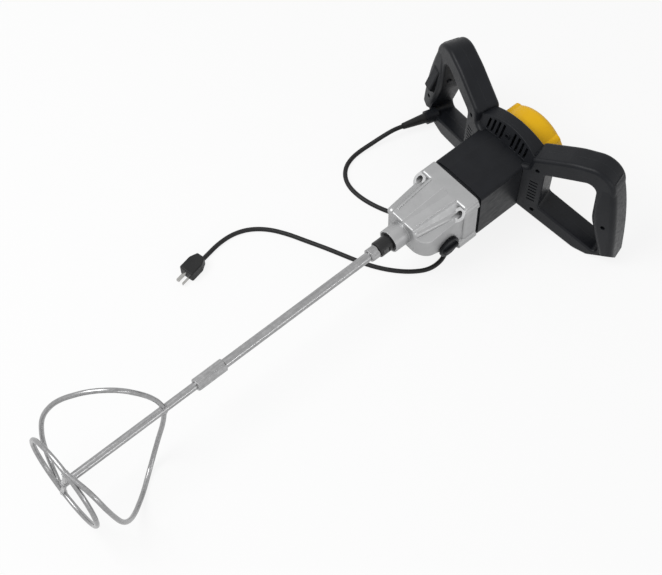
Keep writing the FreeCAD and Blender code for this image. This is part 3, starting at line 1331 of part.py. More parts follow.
def make_blank_shell(shell, front):
    part = shell.common(half_space(front))
    pieces = [part, mirrored(part)]
    keep = half_space(front).common(loop_solid(SHELL_WALL / 2))
    for side in (1, -1):
        y, z = screw_places(side)[-1]
        pieces.append(screw_boss(y, z, side).common(keep if side > 0 else mirrored(keep)))
    return pieces


def make_shells(floor):
    half = block(LOOP_X - FAR / 2, LOOP_X + FAR / 2, 0.0, FAR, -FAR, FAR)
    solid = fuse_all([crown_solid(0.0), loop_solid(0.0), grip_swell()]).common(half)
    solid = solid.cut(grip_heel(0.0))
    hollow = fuse_all([crown_solid(SHELL_WALL), loop_solid(SHELL_WALL)]).common(half)
    hollow = hollow.cut(grip_heel(SHELL_WALL))
    shell = solid.cut(cut_all(hollow, [screw_boss(y, z, 1) for y, z in COMMON_SCREWS]))
    front = fuse_all(make_blank_shell(shell, True) + [guard_socket(), crown_hole(SHELL_WALL / 2)])
    lug_start = CROWN_REAR - CAP_SCREW_BITE - PLATE_GAP
    lugs = [rod(lug_start, CROWN_REAR - SHELL_WALL / 2, CAP_LUG_RADIUS, y, z) for y, z in cap_boss_places()]
    rear = fuse_all(make_blank_shell(shell, False) + lugs)
    motor = housing_solid(HOUSING_FRONT, HOUSING_REAR + BRACKET_THICKNESS, -SHELL_FIT)
    under = block(LOOP_X - FAR / 2, LOOP_X + FAR / 2, -FAR, FAR, floor - FAR, floor)
    front_cutters = [motor, under, trigger_window(), lock_hole(), guard_hole(), crown_hole(0.0)]
    front_cutters += top_vents() + side_vents()
    rear_cutters = [motor, under, rod(CROWN_FRONT, CROWN_REAR, CAP_MOUTH_RADIUS, MOTOR_Y, MOTOR_Z),
                    rod(CROWN_REAR, CAP_REAR, CAP_RADIUS + SHELL_FIT, MOTOR_Y, MOTOR_Z)]
    for y, z in cap_boss_places():
        rear_cutters.append(rod(CROWN_REAR, CAP_REAR, CAP_BOSS_RADIUS + SHELL_FIT, y, z))
        rear_cutters.append(rod(lug_start, CROWN_REAR, CAP_SCREW_DIAMETER / 2 + SEAT_FIT, y, z))
    head_depth = -LOOP_DEPTH / 2 + HANDLE_HEAD_DEPTH
    shank = HANDLE_SCREW_DIAMETER / 2 + SEAT_FIT
    recess = HANDLE_SCREW_HEAD / 2 + SHELL_FIT
    bore_end = LOOP_DEPTH / 2 - SHELL_WALL - SHAFT_STEP
    for side in (1, -1):
        for y, z in screw_places(side):
            front_cutters.append(along_loop(y, z, -LOOP_DEPTH, head_depth, recess, side))
            front_cutters.append(along_loop(y, z, head_depth, bore_end, shank, side))
            rear_cutters.append(along_loop(y, z, -SHAFT_STEP, bore_end, shank, side))
    return cut_all(front, front_cutters), cut_all(rear, rear_cutters)


def make_handle_screws():
    screws = []
    head_end = -LOOP_DEPTH / 2 + HANDLE_HEAD_DEPTH
    start = head_end - HANDLE_SCREW_HEAD_HEIGHT
    end = LOOP_DEPTH / 2 - HANDLE_SCREW_SETBACK
    for side in (1, -1):
        for y, z in screw_places(side):
            head = along_loop(y, z, start, head_end, HANDLE_SCREW_HEAD / 2, side)
            screws.append(head.fuse(along_loop(y, z, head_end, end, HANDLE_SCREW_DIAMETER / 2, side)))
    return Part.makeCompound(screws)


# Rear cap

def cap_inner():
    return CAP_RADIUS - CAP_WALL


def cap_boss_places():
    places = []
    for k in range(4):
        t = math.radians(45 + 90 * k)
        places.append((MOTOR_Y + CAP_BOSS_CENTRE * math.cos(t), MOTOR_Z + CAP_BOSS_CENTRE * math.sin(t)))
    return places


def cap_post_end():
    return CAP_REAR - CAP_BOSS_SETBACK


def cap_seat():
    return cap_post_end() - CAP_SCREW_HEAD_HEIGHT - SHAFT_STEP


def make_cap():
    body = rod(CROWN_REAR, CAP_REAR, CAP_RADIUS, MOTOR_Y, MOTOR_Z)
    body = body.makeFillet(CAP_ROUND, edges_at_x(body, CAP_REAR))
    inner_rear = CAP_REAR - CAP_WALL
    cavity = rod(CROWN_REAR, inner_rear, cap_inner(), MOTOR_Y, MOTOR_Z)
    cavity = cavity.makeFillet(CAP_ROUND - CAP_WALL, edges_at_x(cavity, inner_rear))
    posts = []
    keep = []
    cutters = []
    for y, z in cap_boss_places():
        post = rod(CROWN_REAR, cap_post_end(), CAP_BOSS_RADIUS, y, z)
        posts.append(post.makeFillet(CAP_BOSS_ROUND, edges_at_x(post, cap_post_end())))
        keep.append(rod(CROWN_REAR, inner_rear, CAP_LUG_RADIUS, y, z))
        cutters.append(rod(cap_seat(), CAP_REAR, CAP_SCREW_HEAD / 2 + SHELL_FIT, y, z))
        cutters.append(rod(CROWN_REAR, cap_seat(), CAP_SCREW_DIAMETER / 2 + SEAT_FIT, y, z))
    mouth = CAP_MOUTH_RADIUS - SHELL_FIT
    spigot = tube(CROWN_REAR - CAP_SPIGOT, CROWN_REAR + CAP_WALL, mouth, mouth - CAP_WALL, MOTOR_Y, MOTOR_Z)
    lip = tube(CROWN_REAR, CROWN_REAR + CAP_WALL, CAP_RADIUS - SHAFT_STEP, mouth - CAP_WALL, MOTOR_Y, MOTOR_Z)
    body = fuse_all([body] + posts).cut(cut_all(cavity, keep))
    return cut_all(fuse_all([body, spigot, lip]), cutters)


def make_cap_screws():
    screws = []
    for y, z in cap_boss_places():
        head = rod(cap_seat(), cap_seat() + CAP_SCREW_HEAD_HEIGHT, CAP_SCREW_HEAD / 2, y, z)
        shank = rod(CROWN_REAR - CAP_SCREW_BITE, cap_seat(), CAP_SCREW_DIAMETER / 2, y, z)
        screws.append(head.fuse(shank))
    return Part.makeCompound(screws)


# Trigger, switch and lock button on the left grip

def along_line(start, end, z):
    return start[0] + (z - start[1]) * (end[0] - start[0]) / (end[1] - start[1])


def grip_inner(z):
    if z > GRIP_INNER_BEND[1]:
        return along_line(GRIP_INNER_TOP, GRIP_INNER_BEND, z)
    return along_line(GRIP_INNER_BEND, GRIP_INNER_BOTTOM, z)


def grip_middle(z):
    return (grip_inner(z) + along_line(GRIP_OUTER_TOP, GRIP_OUTER_BOTTOM, z)) / 2


def grip_across():
    low = on_loop(grip_middle(TRIGGER_BOTTOM_Z), TRIGGER_BOTTOM_Z)
    high = on_loop(grip_middle(TRIGGER_TOP_Z), TRIGGER_TOP_Z)
    return (high - low).cross(loop_normal()).normalize()


def trigger_middle(z):
    high = (grip_middle(TRIGGER_TOP_Z), TRIGGER_TOP_Z)
    low = (grip_middle(TRIGGER_BOTTOM_Z), TRIGGER_BOTTOM_Z)
    return along_line(high, low, z)


def grip_slab(z0, z1, width, depth0, depth1):
    low = on_loop(trigger_middle(z0), z0, depth0)
    high = on_loop(trigger_middle(z1), z1, depth0)
    side = grip_across() * (width / 2)
    face = Part.Face(Part.makePolygon([low + side, high + side, high - side, low - side, low + side]))
    return face.extrude(loop_normal() * (depth1 - depth0))


def trigger_window():
    return grip_slab(TRIGGER_BOTTOM_Z - TRIGGER_GAP, TRIGGER_TOP_Z + TRIGGER_GAP,
                     TRIGGER_WIDTH + 2 * TRIGGER_GAP, -LOOP_DEPTH, trigger_back() + PLATE_GAP)


def trigger_back():
    return -LOOP_DEPTH / 2 + SHELL_WALL + TRIGGER_SEAT


def edge_middle(edge):
    return edge.valueAt((edge.FirstParameter + edge.LastParameter) / 2)


def edge_depth(edge):
    return (edge_middle(edge) - on_loop(0, 0)).dot(loop_normal())


def edges_at_depth(body, depth):
    return [e for e in body.Edges if abs(edge_depth(e) - depth) < 0.01]


def edges_before_depth(body, depth):
    return [e for e in body.Edges if edge_depth(e) < depth]


def make_trigger():
    face = -LOOP_DEPTH / 2
    profile = [
        (TRIGGER_BOTTOM_Z, trigger_back()),
        (TRIGGER_TOP_Z, trigger_back()),
        (TRIGGER_TOP_Z, face - TRIGGER_END_PROUD),
        (TRIGGER_TIP_Z, face - TRIGGER_TIP_PROUD),
        (TRIGGER_BOTTOM_Z, face - TRIGGER_END_PROUD),
    ]
    side = grip_across() * (TRIGGER_WIDTH / 2)
    corners = [on_loop(trigger_middle(z), z, depth) - side for z, depth in profile]
    body = Part.Face(Part.makePolygon(corners + corners[:1])).extrude(side * 2)
    return body.makeFillet(TRIGGER_ROUND, edges_before_depth(body, face))


def make_switch():
    middle = (TRIGGER_TOP_Z + TRIGGER_BOTTOM_Z) / 2
    start = trigger_back() + TRIGGER_TRAVEL + SHELL_FIT
    end = LOOP_DEPTH / 2 - SHELL_WALL - SHELL_FIT
    body = grip_slab(middle - SWITCH_LENGTH / 2, middle + SWITCH_LENGTH / 2, SWITCH_WIDTH, start, end)
    return body.makeChamfer(SWITCH_CHAMFER, edges_at_depth(body, end))


def lock_place():
    return on_loop(grip_inner(LOCK_Z), LOCK_Z, LOCK_DEPTH)


def lock_hole():
    start = lock_place() - grip_across() * LOOP_ROUND
    reach = LOOP_ROUND + LOCK_SHANK + LOCK_TRAVEL + SHELL_FIT
    return Part.makeCylinder(LOCK_DIAMETER / 2 + SHELL_FIT, reach, start, grip_across())


def make_lock_button():
    start = lock_place() - grip_across() * LOCK_PROUD
    body = Part.makeCylinder(LOCK_DIAMETER / 2, LOCK_PROUD + LOCK_SHANK, start, grip_across())
    rim = [e for e in body.Edges if e.BoundBox.Center.distanceToPoint(start) < 0.01]
    return body.makeFillet(SHAFT_STEP, rim)


# Cord guard, cord and plug

def guard_direction():
    return V(-1, LOOP_SWEEP, 0).normalize()


def guard_base():
    return on_loop(GUARD_Y, GUARD_Z, -LOOP_DEPTH / 2)


def along_guard(start, end, radius):
    return Part.makeCylinder(radius, end - start, guard_base() + guard_direction() * start, guard_direction())


def guard_socket():
    return along_guard(-GUARD_SOCKET_DEPTH, GUARD_SOCKET_REACH, GUARD_BASE_RADIUS + GUARD_SOCKET_WALL)


def guard_hole():
    return along_guard(-GUARD_NECK, GUARD_SOCKET_REACH, GUARD_BASE_RADIUS + SEAT_FIT)


def make_guard():
    neck_end = GUARD_SOCKET_REACH + GUARD_COLLAR
    cone = Part.makeCone(GUARD_BASE_RADIUS, GUARD_TIP_RADIUS, GUARD_LENGTH - neck_end,
                         guard_base() + guard_direction() * neck_end, guard_direction())
    return fuse_all([along_guard(-GUARD_NECK, neck_end, GUARD_BASE_RADIUS), cone])


def make_cord(floor):
    tip = guard_base() + guard_direction() * GUARD_LENGTH
    height = floor + CORD_LIFT
    points = [tip, tip + guard_direction() * CORD_LEAD]
    points += [V(LOOP_X + x, y, z) for x, y, z in CORD_DROP]
    points += [V(LOOP_X + x, y, height) for x, y in CORD_FLOOR + [PLUG_BACK]]
    return routed_tube(points, CORD_DIAMETER, "cord")


def make_plug(floor):
    last = CORD_FLOOR[-1]
    ahead = V(PLUG_BACK[0] - last[0], PLUG_BACK[1] - last[1], 0).normalize()
    side = V(-ahead.y, ahead.x, 0)
    back = V(LOOP_X + PLUG_BACK[0], PLUG_BACK[1], floor)
    face = back + ahead * PLUG_LENGTH
    shoulder = back + ahead * PLUG_SHOULDER
    half = side * (PLUG_WIDTH / 2)
    rear = side * (PLUG_REAR_WIDTH / 2)
    outline = [back + rear, shoulder + half, face + half, face - half, shoulder - half, back - rear]
    rounds = [PLUG_ROUND, PLUG_SHOULDER_ROUND, PLUG_ROUND]
    body = Part.Face(closed_outline(outline, rounds + rounds[::-1])).extrude(V(0, 0, PLUG_HEIGHT))
    body = body.makeFillet(PLUG_EDGE_ROUND, [e for e in body.Edges if e.BoundBox.ZLength < 0.01])
    low = (PLUG_HEIGHT - BLADE_WIDTH - GROUND_PIN_RISE) / 2
    wide = side * (BLADE_THICKNESS / 2)
    out = ahead * BLADE_LENGTH
    blades = []
    for hand in (1, -1):
        root = face + side * (hand * BLADE_SPACING / 2) + V(0, 0, low)
        corners = [root + wide, root + wide + out, root - wide + out, root - wide]
        blades.append(Part.Face(Part.makePolygon(corners + corners[:1])).extrude(V(0, 0, BLADE_WIDTH)))
    pin_root = face + V(0, 0, low + BLADE_WIDTH / 2 + GROUND_PIN_RISE)
    pin = Part.makeCylinder(GROUND_PIN_DIAMETER / 2, GROUND_PIN_LENGTH, pin_root, ahead)
    return body, Part.makeCompound(blades), pin


# Assembly

def build():
    nodes = {}
    shaft, ring, crossbar, wires = make_paddle()
    floor = min(w.optimalBoundingBox(False).ZMin for w in wires)
    nodes["paddle_shaft"] = shaft
    nodes["paddle_ring"] = ring
    nodes["paddle_crossbar"] = crossbar
    nodes["paddle_wire_1"] = wires[1]
    nodes["paddle_wire_2"] = wires[0]
    nodes["hex_coupling"] = make_coupling()
    nodes["extension_rod"] = make_rod()
    nodes["lock_nut"] = make_lock_nut()
    nodes["spindle"] = make_spindle()
    low, high, countershaft, high_pinion, wheel = make_gears()
    nodes["low_gear"] = low
    nodes["high_gear"] = high
    nodes["countershaft"] = countershaft
    nodes["high_pinion"] = high_pinion
    nodes["counter_wheel"] = wheel
    nodes["dog_sleeve"] = make_sleeve()
    nodes["shift_fork"] = make_fork()
    nodes["fork_rail"] = make_rail()
    nodes["selector_knob"], nodes["selector_shaft"] = make_selector()
    nodes["spindle_seal"] = tube(COLLAR_FRONT + SHELL_FIT, SEAL_END, SEAL_DIAMETER / 2,
                                 SPINDLE_DIAMETER / 2 + RUNNING_FIT)
    nodes["spindle_front_bearing"] = bearing(FRONT_BEARING_START, FRONT_BEARING_WIDTH,
                                             FRONT_BEARING_DIAMETER / 2, FRONT_BEARING_BORE)
    small = SMALL_BEARING_DIAMETER / 2
    bore = SMALL_BEARING_BORE / 2 + RUNNING_FIT - SEAT_FIT
    nodes["spindle_rear_bearing"] = bearing(PLATE_FRONT, SMALL_BEARING_WIDTH, small,
                                            END_JOURNAL_DIAMETER / 2 + RUNNING_FIT)
    nodes["countershaft_front_bearing"] = bearing(COUNTER_BEARING_START, SMALL_BEARING_WIDTH, small, bore,
                                                  COUNTER_Y, COUNTER_Z)
    nodes["countershaft_rear_bearing"] = bearing(PLATE_FRONT, SMALL_BEARING_WIDTH, small, bore,
                                                 COUNTER_Y, COUNTER_Z)
    nodes["gear_case"] = make_case()
    nodes["gear_plate"] = make_plate()
    nodes["case_gasket"] = make_gasket()
    nodes["case_screws"] = make_case_screws()
    nodes["motor_housing"] = make_housing()
    nodes["stator_core"], nodes["field_coils"] = make_stator()
    nodes["armature_shaft"] = make_armature_shaft()
    nodes["armature_core"], nodes["armature_windings"], nodes["commutator"] = make_armature()
    nodes["fan"] = make_fan()
    nodes["armature_front_bearing"] = bearing(ARMATURE_BEARING_START, ARMATURE_BEARING_WIDTH,
                                              ARMATURE_BEARING_DIAMETER / 2,
                                              ARMATURE_SHAFT_DIAMETER / 2 + RUNNING_FIT, MOTOR_Y, MOTOR_Z)
    nodes["armature_rear_bearing"] = bearing(REAR_BEARING_START, SMALL_BEARING_WIDTH, small, bore,
                                             MOTOR_Y, MOTOR_Z)
    nodes["bearing_bracket"] = make_bracket()
    nodes["brush_holders"], nodes["carbon_brushes"], nodes["brush_springs"] = make_brushes()
    nodes["handle_front_shell"], nodes["handle_rear_shell"] = make_shells(floor)
    nodes["handle_screws"] = make_handle_screws()
    nodes["rear_cap"] = make_cap()
    nodes["cap_screws"] = make_cap_screws()
    nodes["trigger"] = make_trigger()
    nodes["switch_body"] = make_switch()
    nodes["lock_button"] = make_lock_button()
    nodes["cord_guard"] = make_guard()
    nodes["power_cord"] = make_cord(floor)
    nodes["plug_body"], nodes["plug_blades"], nodes["plug_ground_pin"] = make_plug(floor)
    return nodes, floor


def main():
    os.makedirs("parts", exist_ok=True)
    nodes, floor = build()
    middle = (CAP_REAR - WIRE_DIAMETER / 2) / 2
    shift = V(-middle, 0, -floor)
    print("shift", shift, "nodes", len(nodes))
    for name, shape in nodes.items():
        shape.translate(shift)
        if not shape.isValid():
            print("not valid", name)
        shape.exportStep("parts/" + name + ".step")


main()
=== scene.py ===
import json
import math

import bpy
from mathutils import Matrix, Vector


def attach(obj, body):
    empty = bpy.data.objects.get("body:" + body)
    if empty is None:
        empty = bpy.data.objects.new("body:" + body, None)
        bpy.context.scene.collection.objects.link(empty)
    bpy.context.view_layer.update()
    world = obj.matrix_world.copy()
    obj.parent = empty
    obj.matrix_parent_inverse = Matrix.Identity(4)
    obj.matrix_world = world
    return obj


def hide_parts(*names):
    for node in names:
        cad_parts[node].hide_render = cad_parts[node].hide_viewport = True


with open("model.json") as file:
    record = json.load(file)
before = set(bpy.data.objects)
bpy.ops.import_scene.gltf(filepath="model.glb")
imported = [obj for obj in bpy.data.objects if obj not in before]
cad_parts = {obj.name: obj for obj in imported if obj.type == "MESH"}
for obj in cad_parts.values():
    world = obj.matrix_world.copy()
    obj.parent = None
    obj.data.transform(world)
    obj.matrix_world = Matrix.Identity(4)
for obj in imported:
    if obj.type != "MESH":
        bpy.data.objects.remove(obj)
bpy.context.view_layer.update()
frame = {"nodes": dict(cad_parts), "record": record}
NODES = frame["nodes"]
SLOTS = {part["node"]: part["material_slot"] for part in frame["record"]["subparts"]}

# Camera, in metres and degrees; the picture is taken to be 662 by 575 pixels
IMAGE_WIDTH = 662
FOCAL_PIXELS = 1463.0
SENSOR_WIDTH = 36.0
CAMERA_PLACE = (-0.74825, -0.945, 2.081796)
CAMERA_DOWN = 58.29
CAMERA_HEADING = 50.64
CAMERA_ROLL = -1.83

# Light, in metres and watts
FLOOR_SIZE = 40.0
FLOOR_COLOUR = (0.80, 0.80, 0.80)
FLOOR_ROUGHNESS = 0.9
FLOOR_SPECULAR = 0.1
FLOOR_WHITE_SHARE = 0.86
WHITE = (1.0, 1.0, 1.0, 1.0)
SKY_STRENGTH = 0.50
KEY_POWER = 40.0
KEY_SIZE = 1.6
KEY_PLACE = (-1.04, 0.745, 2.2)
LAMP_TARGET = (0.25, 0.0, 0.05)
STRIP_POWER = 7.0
STRIP_LENGTH = 2.0
STRIP_HEIGHT = 0.14
STRIP_PLACE = (0.0, -2.0, 0.5)

# Cord, in metres
CORD_DIAMETER = 0.008
CORD_EXIT = (0.375376, 0.209842, 0.019896)
CORD_FLOOR_HEIGHT = 0.004
CORD_ROUND_STEPS = 6
CORD_CURVE_ORDER = 3
CORD_CURVE_STEPS = 10
CORD_START = [
    CORD_EXIT,
    (0.361966, 0.213865, 0.019896),
    (0.34775, 0.2170, 0.017796),
    (0.32875, 0.2210, 0.013296),
    (0.30975, 0.2245, 0.008296),
]
CORD_ON_FLOOR = [
    (0.29075, 0.228),
    (0.26775, 0.226),
    (0.24775, 0.218),
    (0.23275, 0.203),
    (0.22475, 0.183),
    (0.22375, 0.158),
    (0.22875, 0.130),
    (0.23875, 0.102),
    (0.25175, 0.076),
    (0.26775, 0.051),
    (0.28075, 0.025),
    (0.27975, -0.003),
    (0.26475, -0.025),
    (0.23975, -0.036),
    (0.21275, -0.035),
    (0.18875, -0.020),
    (0.16775, 0.001),
    (0.14975, 0.026),
    (0.13575, 0.053),
    (0.12375, 0.082),
    (0.11075, 0.113),
    (0.09575, 0.145),
    (0.08075, 0.178),
    (0.06275, 0.207),
    (0.03875, 0.229),
    (0.01075, 0.240),
    (-0.01825, 0.241),
    (-0.04225, 0.237),
    (-0.06225, 0.233),
]

# Welds of the paddle, in metres and degrees: the ring stands square to the spindle line
SPINDLE_HEIGHT = 0.112796
RING_X = -0.49025
RING_RADIUS = 0.0785
SHAFT_RADIUS = 0.0065
WIRE_RADIUS = 0.004
CROSSBAR_ANGLE = 108.0
WIRE_TURN = 160.0
WIRE_WELD_DISTANCE = 0.1833
WIRE_LEAN = -0.23
WELD_BEAD = 0.0016
WELD_RIPPLE = 0.22
WELD_RIPPLES = 11
WELD_STEPS = 44
WELD_SIDES = 10

# Black plate inside the crown, under its vents, standing in for the shade seen through them, in metres
VENT_SHADE_FRONT_X = 0.4105
VENT_SHADE_REAR_X = 0.4385
VENT_SHADE_HALF_WIDTH = 0.0512
VENT_SHADE_LOW = 0.1480
VENT_SHADE_HIGH = 0.1490
VENT_SHADE_CORNER = 0.004
VENT_SHADE_CORNER_STEPS = 5

# Softened edges and the painted edge highlight, in metres; the last two are cosines from the flat normal
PLASTIC_EDGE = 0.0009
PLASTIC_HIGHLIGHT_EDGE = PLASTIC_EDGE * 1.6
EDGE_SAMPLES = 4
EDGE_TURNED = 0.80
EDGE_FLAT = 0.995

# Streaks along drawn metal, painted as reflection stripes in the colour and kept as drawn lines in the
# bump: the texture is squeezed across the spindle line
STREAK_STRETCH = (1.0, 14.0, 14.0)

# Colour sockets of the Mix node, by number
MIX_FIRST = 6
MIX_SECOND = 7
MIX_RESULT = 2


# Material helpers

class Finish:
    """One procedural material: its node tree, its shader and the parts that most finishes share."""

    def __init__(self, name, colour, roughness, metallic=0.0, specular=0.5):
        self.material = bpy.data.materials.new(name)
        self.material.use_nodes = True
        self.material.diffuse_color = (*colour, 1.0)
        self.nodes = self.material.node_tree.nodes
        self.links = self.material.node_tree.links
        self.shader = self.nodes["Principled BSDF"]
        self.shader.inputs["Base Color"].default_value = (*colour, 1.0)
        self.shader.inputs["Roughness"].default_value = roughness
        self.shader.inputs["Metallic"].default_value = metallic
        self.shader.inputs["Specular IOR Level"].default_value = specular
        self.place = self.nodes.new("ShaderNodeTexCoord").outputs["Object"]
        self.normal = None

    def node(self, kind, values=None, **settings):
        made = self.nodes.new(kind)
        for name, value in settings.items():
            setattr(made, name, value)
        for name, value in (values or {}).items():
            socket = made.inputs[name]
            if isinstance(value, bpy.types.NodeSocket):
                self.links.new(value, socket)
            else:
                socket.default_value = value
        return made

    def noise(self, scale, detail=4.0, stretch=(1.0, 1.0, 1.0), distortion=0.0):
        place = self.place
        if stretch != (1.0, 1.0, 1.0):
            place = self.node("ShaderNodeMapping", {"Vector": place, "Scale": stretch}).outputs["Vector"]
        values = {"Vector": place, "Scale": scale, "Detail": detail, "Distortion": distortion}
        return self.node("ShaderNodeTexNoise", values).outputs["Fac"]

    def spread(self, source, low, high, start=0.3, end=0.7):
        values = {"Value": source, "From Min": start, "From Max": end, "To Min": low, "To Max": high}
        return self.node("ShaderNodeMapRange", values).outputs["Result"]

    def blend(self, share, first, second):
        mix = self.node("ShaderNodeMix", data_type="RGBA")
        self.links.new(share, mix.inputs["Factor"])
        for socket, value in ((mix.inputs[MIX_FIRST], first), (mix.inputs[MIX_SECOND], second)):
            if isinstance(value, bpy.types.NodeSocket):
                self.links.new(value, socket)
            else:
                socket.default_value = (*value, 1.0)
        return mix.outputs[MIX_RESULT]

    def colour(self, source):
        self.links.new(source, self.shader.inputs["Base Color"])

    def roughness(self, source):
        self.links.new(source, self.shader.inputs["Roughness"])

    def rounded(self, radius):
        return self.node("ShaderNodeBevel", {"Radius": radius}, samples=EDGE_SAMPLES).outputs["Normal"]

    def soften(self, radius):
        self.normal = self.rounded(radius)
        self.links.new(self.normal, self.shader.inputs["Normal"])

    def bump(self, height, strength, distance):
        values = {"Height": height, "Strength": strength, "Distance": distance}
        if self.normal is not None:
            values["Normal"] = self.normal
        self.normal = self.node("ShaderNodeBump", values).outputs["Normal"]
        self.links.new(self.normal, self.shader.inputs["Normal"])

    def edges(self, radius):
        """One along the edges and nought on flat ground."""
        soft = self.rounded(radius)
        flat = self.nodes.new("ShaderNodeNewGeometry").outputs["Normal"]
        dot = self.node("ShaderNodeVectorMath", operation="DOT_PRODUCT")
        self.links.new(soft, dot.inputs[0])
        self.links.new(flat, dot.inputs[1])
        return self.spread(dot.outputs["Value"], low=1.0, high=0.0, start=EDGE_TURNED, end=EDGE_FLAT)


# The lighter worn colour serves both the random handling marks and the painted edge highlight.
def moulded_plastic(name, colour, worn_and_highlight, roughness, grain, specular):
    """Moulded plastic with a fine etched grain, faint handling marks and a painted highlight along the
    edges.
    """
    finish = Finish(name, colour, roughness, specular=specular)
    finish.soften(radius=PLASTIC_EDGE)
    handled = finish.noise(scale=34.0, detail=5.0)
    scuffs = finish.noise(scale=60.0, detail=6.0, stretch=(1.0, 9.0, 3.0), distortion=0.6)
    tone = finish.blend(finish.spread(handled, low=0.0, high=0.55), colour, worn_and_highlight)
    # Painted highlight: convex edges are lightened towards the lighter colour to stand in for the lamp's
    # glint on them.
    painted_edge_highlight = finish.spread(finish.edges(radius=PLASTIC_HIGHLIGHT_EDGE), low=0.0, high=0.5, start=0.0, end=1.0)
    finish.colour(finish.blend(painted_edge_highlight, tone, worn_and_highlight))
    finish.roughness(finish.spread(scuffs, low=roughness - 0.07, high=roughness + 0.09))
    finish.bump(finish.noise(scale=1500.0, detail=3.0), strength=grain, distance=0.00018)
    finish.bump(finish.noise(scale=120.0, detail=2.0), strength=grain * 0.4, distance=0.0004)
    return finish.material


def cast_metal(name, colour, shade, roughness):
    """Blasted casting: a sandy skin, cloudy tone, and a painted highlight along the edges."""
    finish = Finish(name, colour, roughness, metallic=0.85)
    finish.soften(radius=0.0008)
    cloud = finish.noise(scale=26.0, detail=6.0, distortion=0.4)
    edge_highlight_colour = tuple(min(1.0, part * 1.5) for part in colour)
    tone = finish.blend(finish.spread(cloud, low=0.0, high=1.0), shade, colour)
    # Painted highlight: the edges are lightened to stand in for the glint of the lamps along the ridges.
    finish.colour(finish.blend(finish.edges(radius=0.0012), tone, edge_highlight_colour))
    patches = finish.noise(scale=90.0, detail=5.0)
    finish.roughness(finish.spread(patches, low=roughness - 0.06, high=roughness + 0.10))
    finish.bump(finish.noise(scale=900.0, detail=4.0), strength=0.30, distance=0.00022)
    finish.bump(finish.noise(scale=140.0, detail=3.0), strength=0.12, distance=0.0005)
    return finish.material


def drawn_metal(name, colour, shade, roughness, metallic=1.0):
    """Drawn or turned metal: a mottled plating, drawn lines in the bump, and painted reflection stripes
    along the length.
    """
    finish = Finish(name, colour, roughness, metallic=metallic)
    finish.soften(radius=0.0004)
    mottle = finish.noise(scale=220.0, detail=3.0)
    drawn_lines_and_reflection = finish.noise(scale=30.0, detail=5.0, stretch=STREAK_STRETCH)
    tone = finish.blend(finish.spread(mottle, low=0.0, high=0.5), colour, shade)
    # Painted reflection: the streak noise lays light and dark stripes along the length in the colour.
    finish.colour(finish.blend(finish.spread(drawn_lines_and_reflection, low=0.0, high=0.6), tone, shade))
    patches = finish.noise(scale=75.0, detail=5.0)
    finish.roughness(finish.spread(patches, low=roughness - 0.08, high=roughness + 0.12))
    finish.bump(drawn_lines_and_reflection, strength=0.10, distance=0.0002)
    finish.bump(finish.noise(scale=700.0, detail=3.0), strength=0.08, distance=0.00015)
    return finish.material


def machined_steel(name, colour, shade, roughness):
    """Ground steel with a light oil film and fine tool marks."""
    finish = Finish(name, colour, roughness, metallic=1.0)
    finish.soften(radius=0.0003)
    film = finish.noise(scale=55.0, detail=4.0, distortion=0.8)
    finish.colour(finish.blend(finish.spread(film, low=0.0, high=1.0), shade, colour))
    finish.roughness(finish.spread(film, low=roughness - 0.05, high=roughness + 0.10))
    marks = finish.noise(scale=260.0, detail=3.0, stretch=(9.0, 1.0, 1.0))
    finish.bump(marks, strength=0.10, distance=0.0001)
    return finish.material


def stacked_sheets(name, colour, shade, pitch):
    """A stack of thin steel sheets: fine dark lines across the length."""
    finish = Finish(name, colour, roughness=0.45, metallic=0.9)
    values = {"Vector": finish.place, "Scale": 1.0 / pitch, "Distortion": 0.2, "Detail": 1.0}
    lines = finish.node("ShaderNodeTexWave", values, bands_direction="X").outputs["Fac"]
    finish.colour(finish.blend(lines, shade, colour))
    finish.roughness(finish.spread(finish.noise(scale=80.0), low=0.38, high=0.55))
    finish.bump(lines, strength=0.4, distance=0.0003)
    return finish.material


def wound_wire(name, colour, shade, pitch):
    """Enamelled wire laid side by side."""
    finish = Finish(name, colour, roughness=0.3, metallic=1.0)
    values = {"Vector": finish.place, "Scale": 0.5 / pitch, "Distortion": 1.4, "Detail": 2.0}
    turns = finish.node("ShaderNodeTexWave", values, bands_direction="DIAGONAL").outputs["Fac"]
    finish.colour(finish.blend(turns, shade, colour))
    finish.roughness(finish.spread(finish.noise(scale=140.0), low=0.24, high=0.42))
    finish.bump(turns, strength=0.6, distance=0.0006)
    return finish.material


def rubber(name, colour, dusty, roughness):
    """Soft black rubber with a dull skin and a trace of dust."""
    finish = Finish(name, colour, roughness, specular=0.25)
    dust = finish.noise(scale=48.0, detail=6.0, distortion=0.5)
    finish.colour(finish.blend(finish.spread(dust, low=0.0, high=0.8), colour, dusty))
    patches = finish.noise(scale=110.0, detail=4.0)
    finish.roughness(finish.spread(patches, low=roughness - 0.06, high=roughness + 0.10))
    finish.bump(finish.noise(scale=850.0, detail=3.0), strength=0.16, distance=0.00015)
    return finish.material


def pressed_carbon(name, colour, shade):
    """Pressed carbon block with a grainy skin."""
    finish = Finish(name, colour, roughness=0.55, metallic=0.2)
    grain = finish.noise(scale=600.0, detail=5.0)
    finish.colour(finish.blend(finish.spread(grain, low=0.0, high=1.0), shade, colour))
    finish.roughness(finish.spread(finish.noise(scale=90.0), low=0.45, high=0.65))
    finish.bump(grain, strength=0.3, distance=0.0002)
    return finish.material


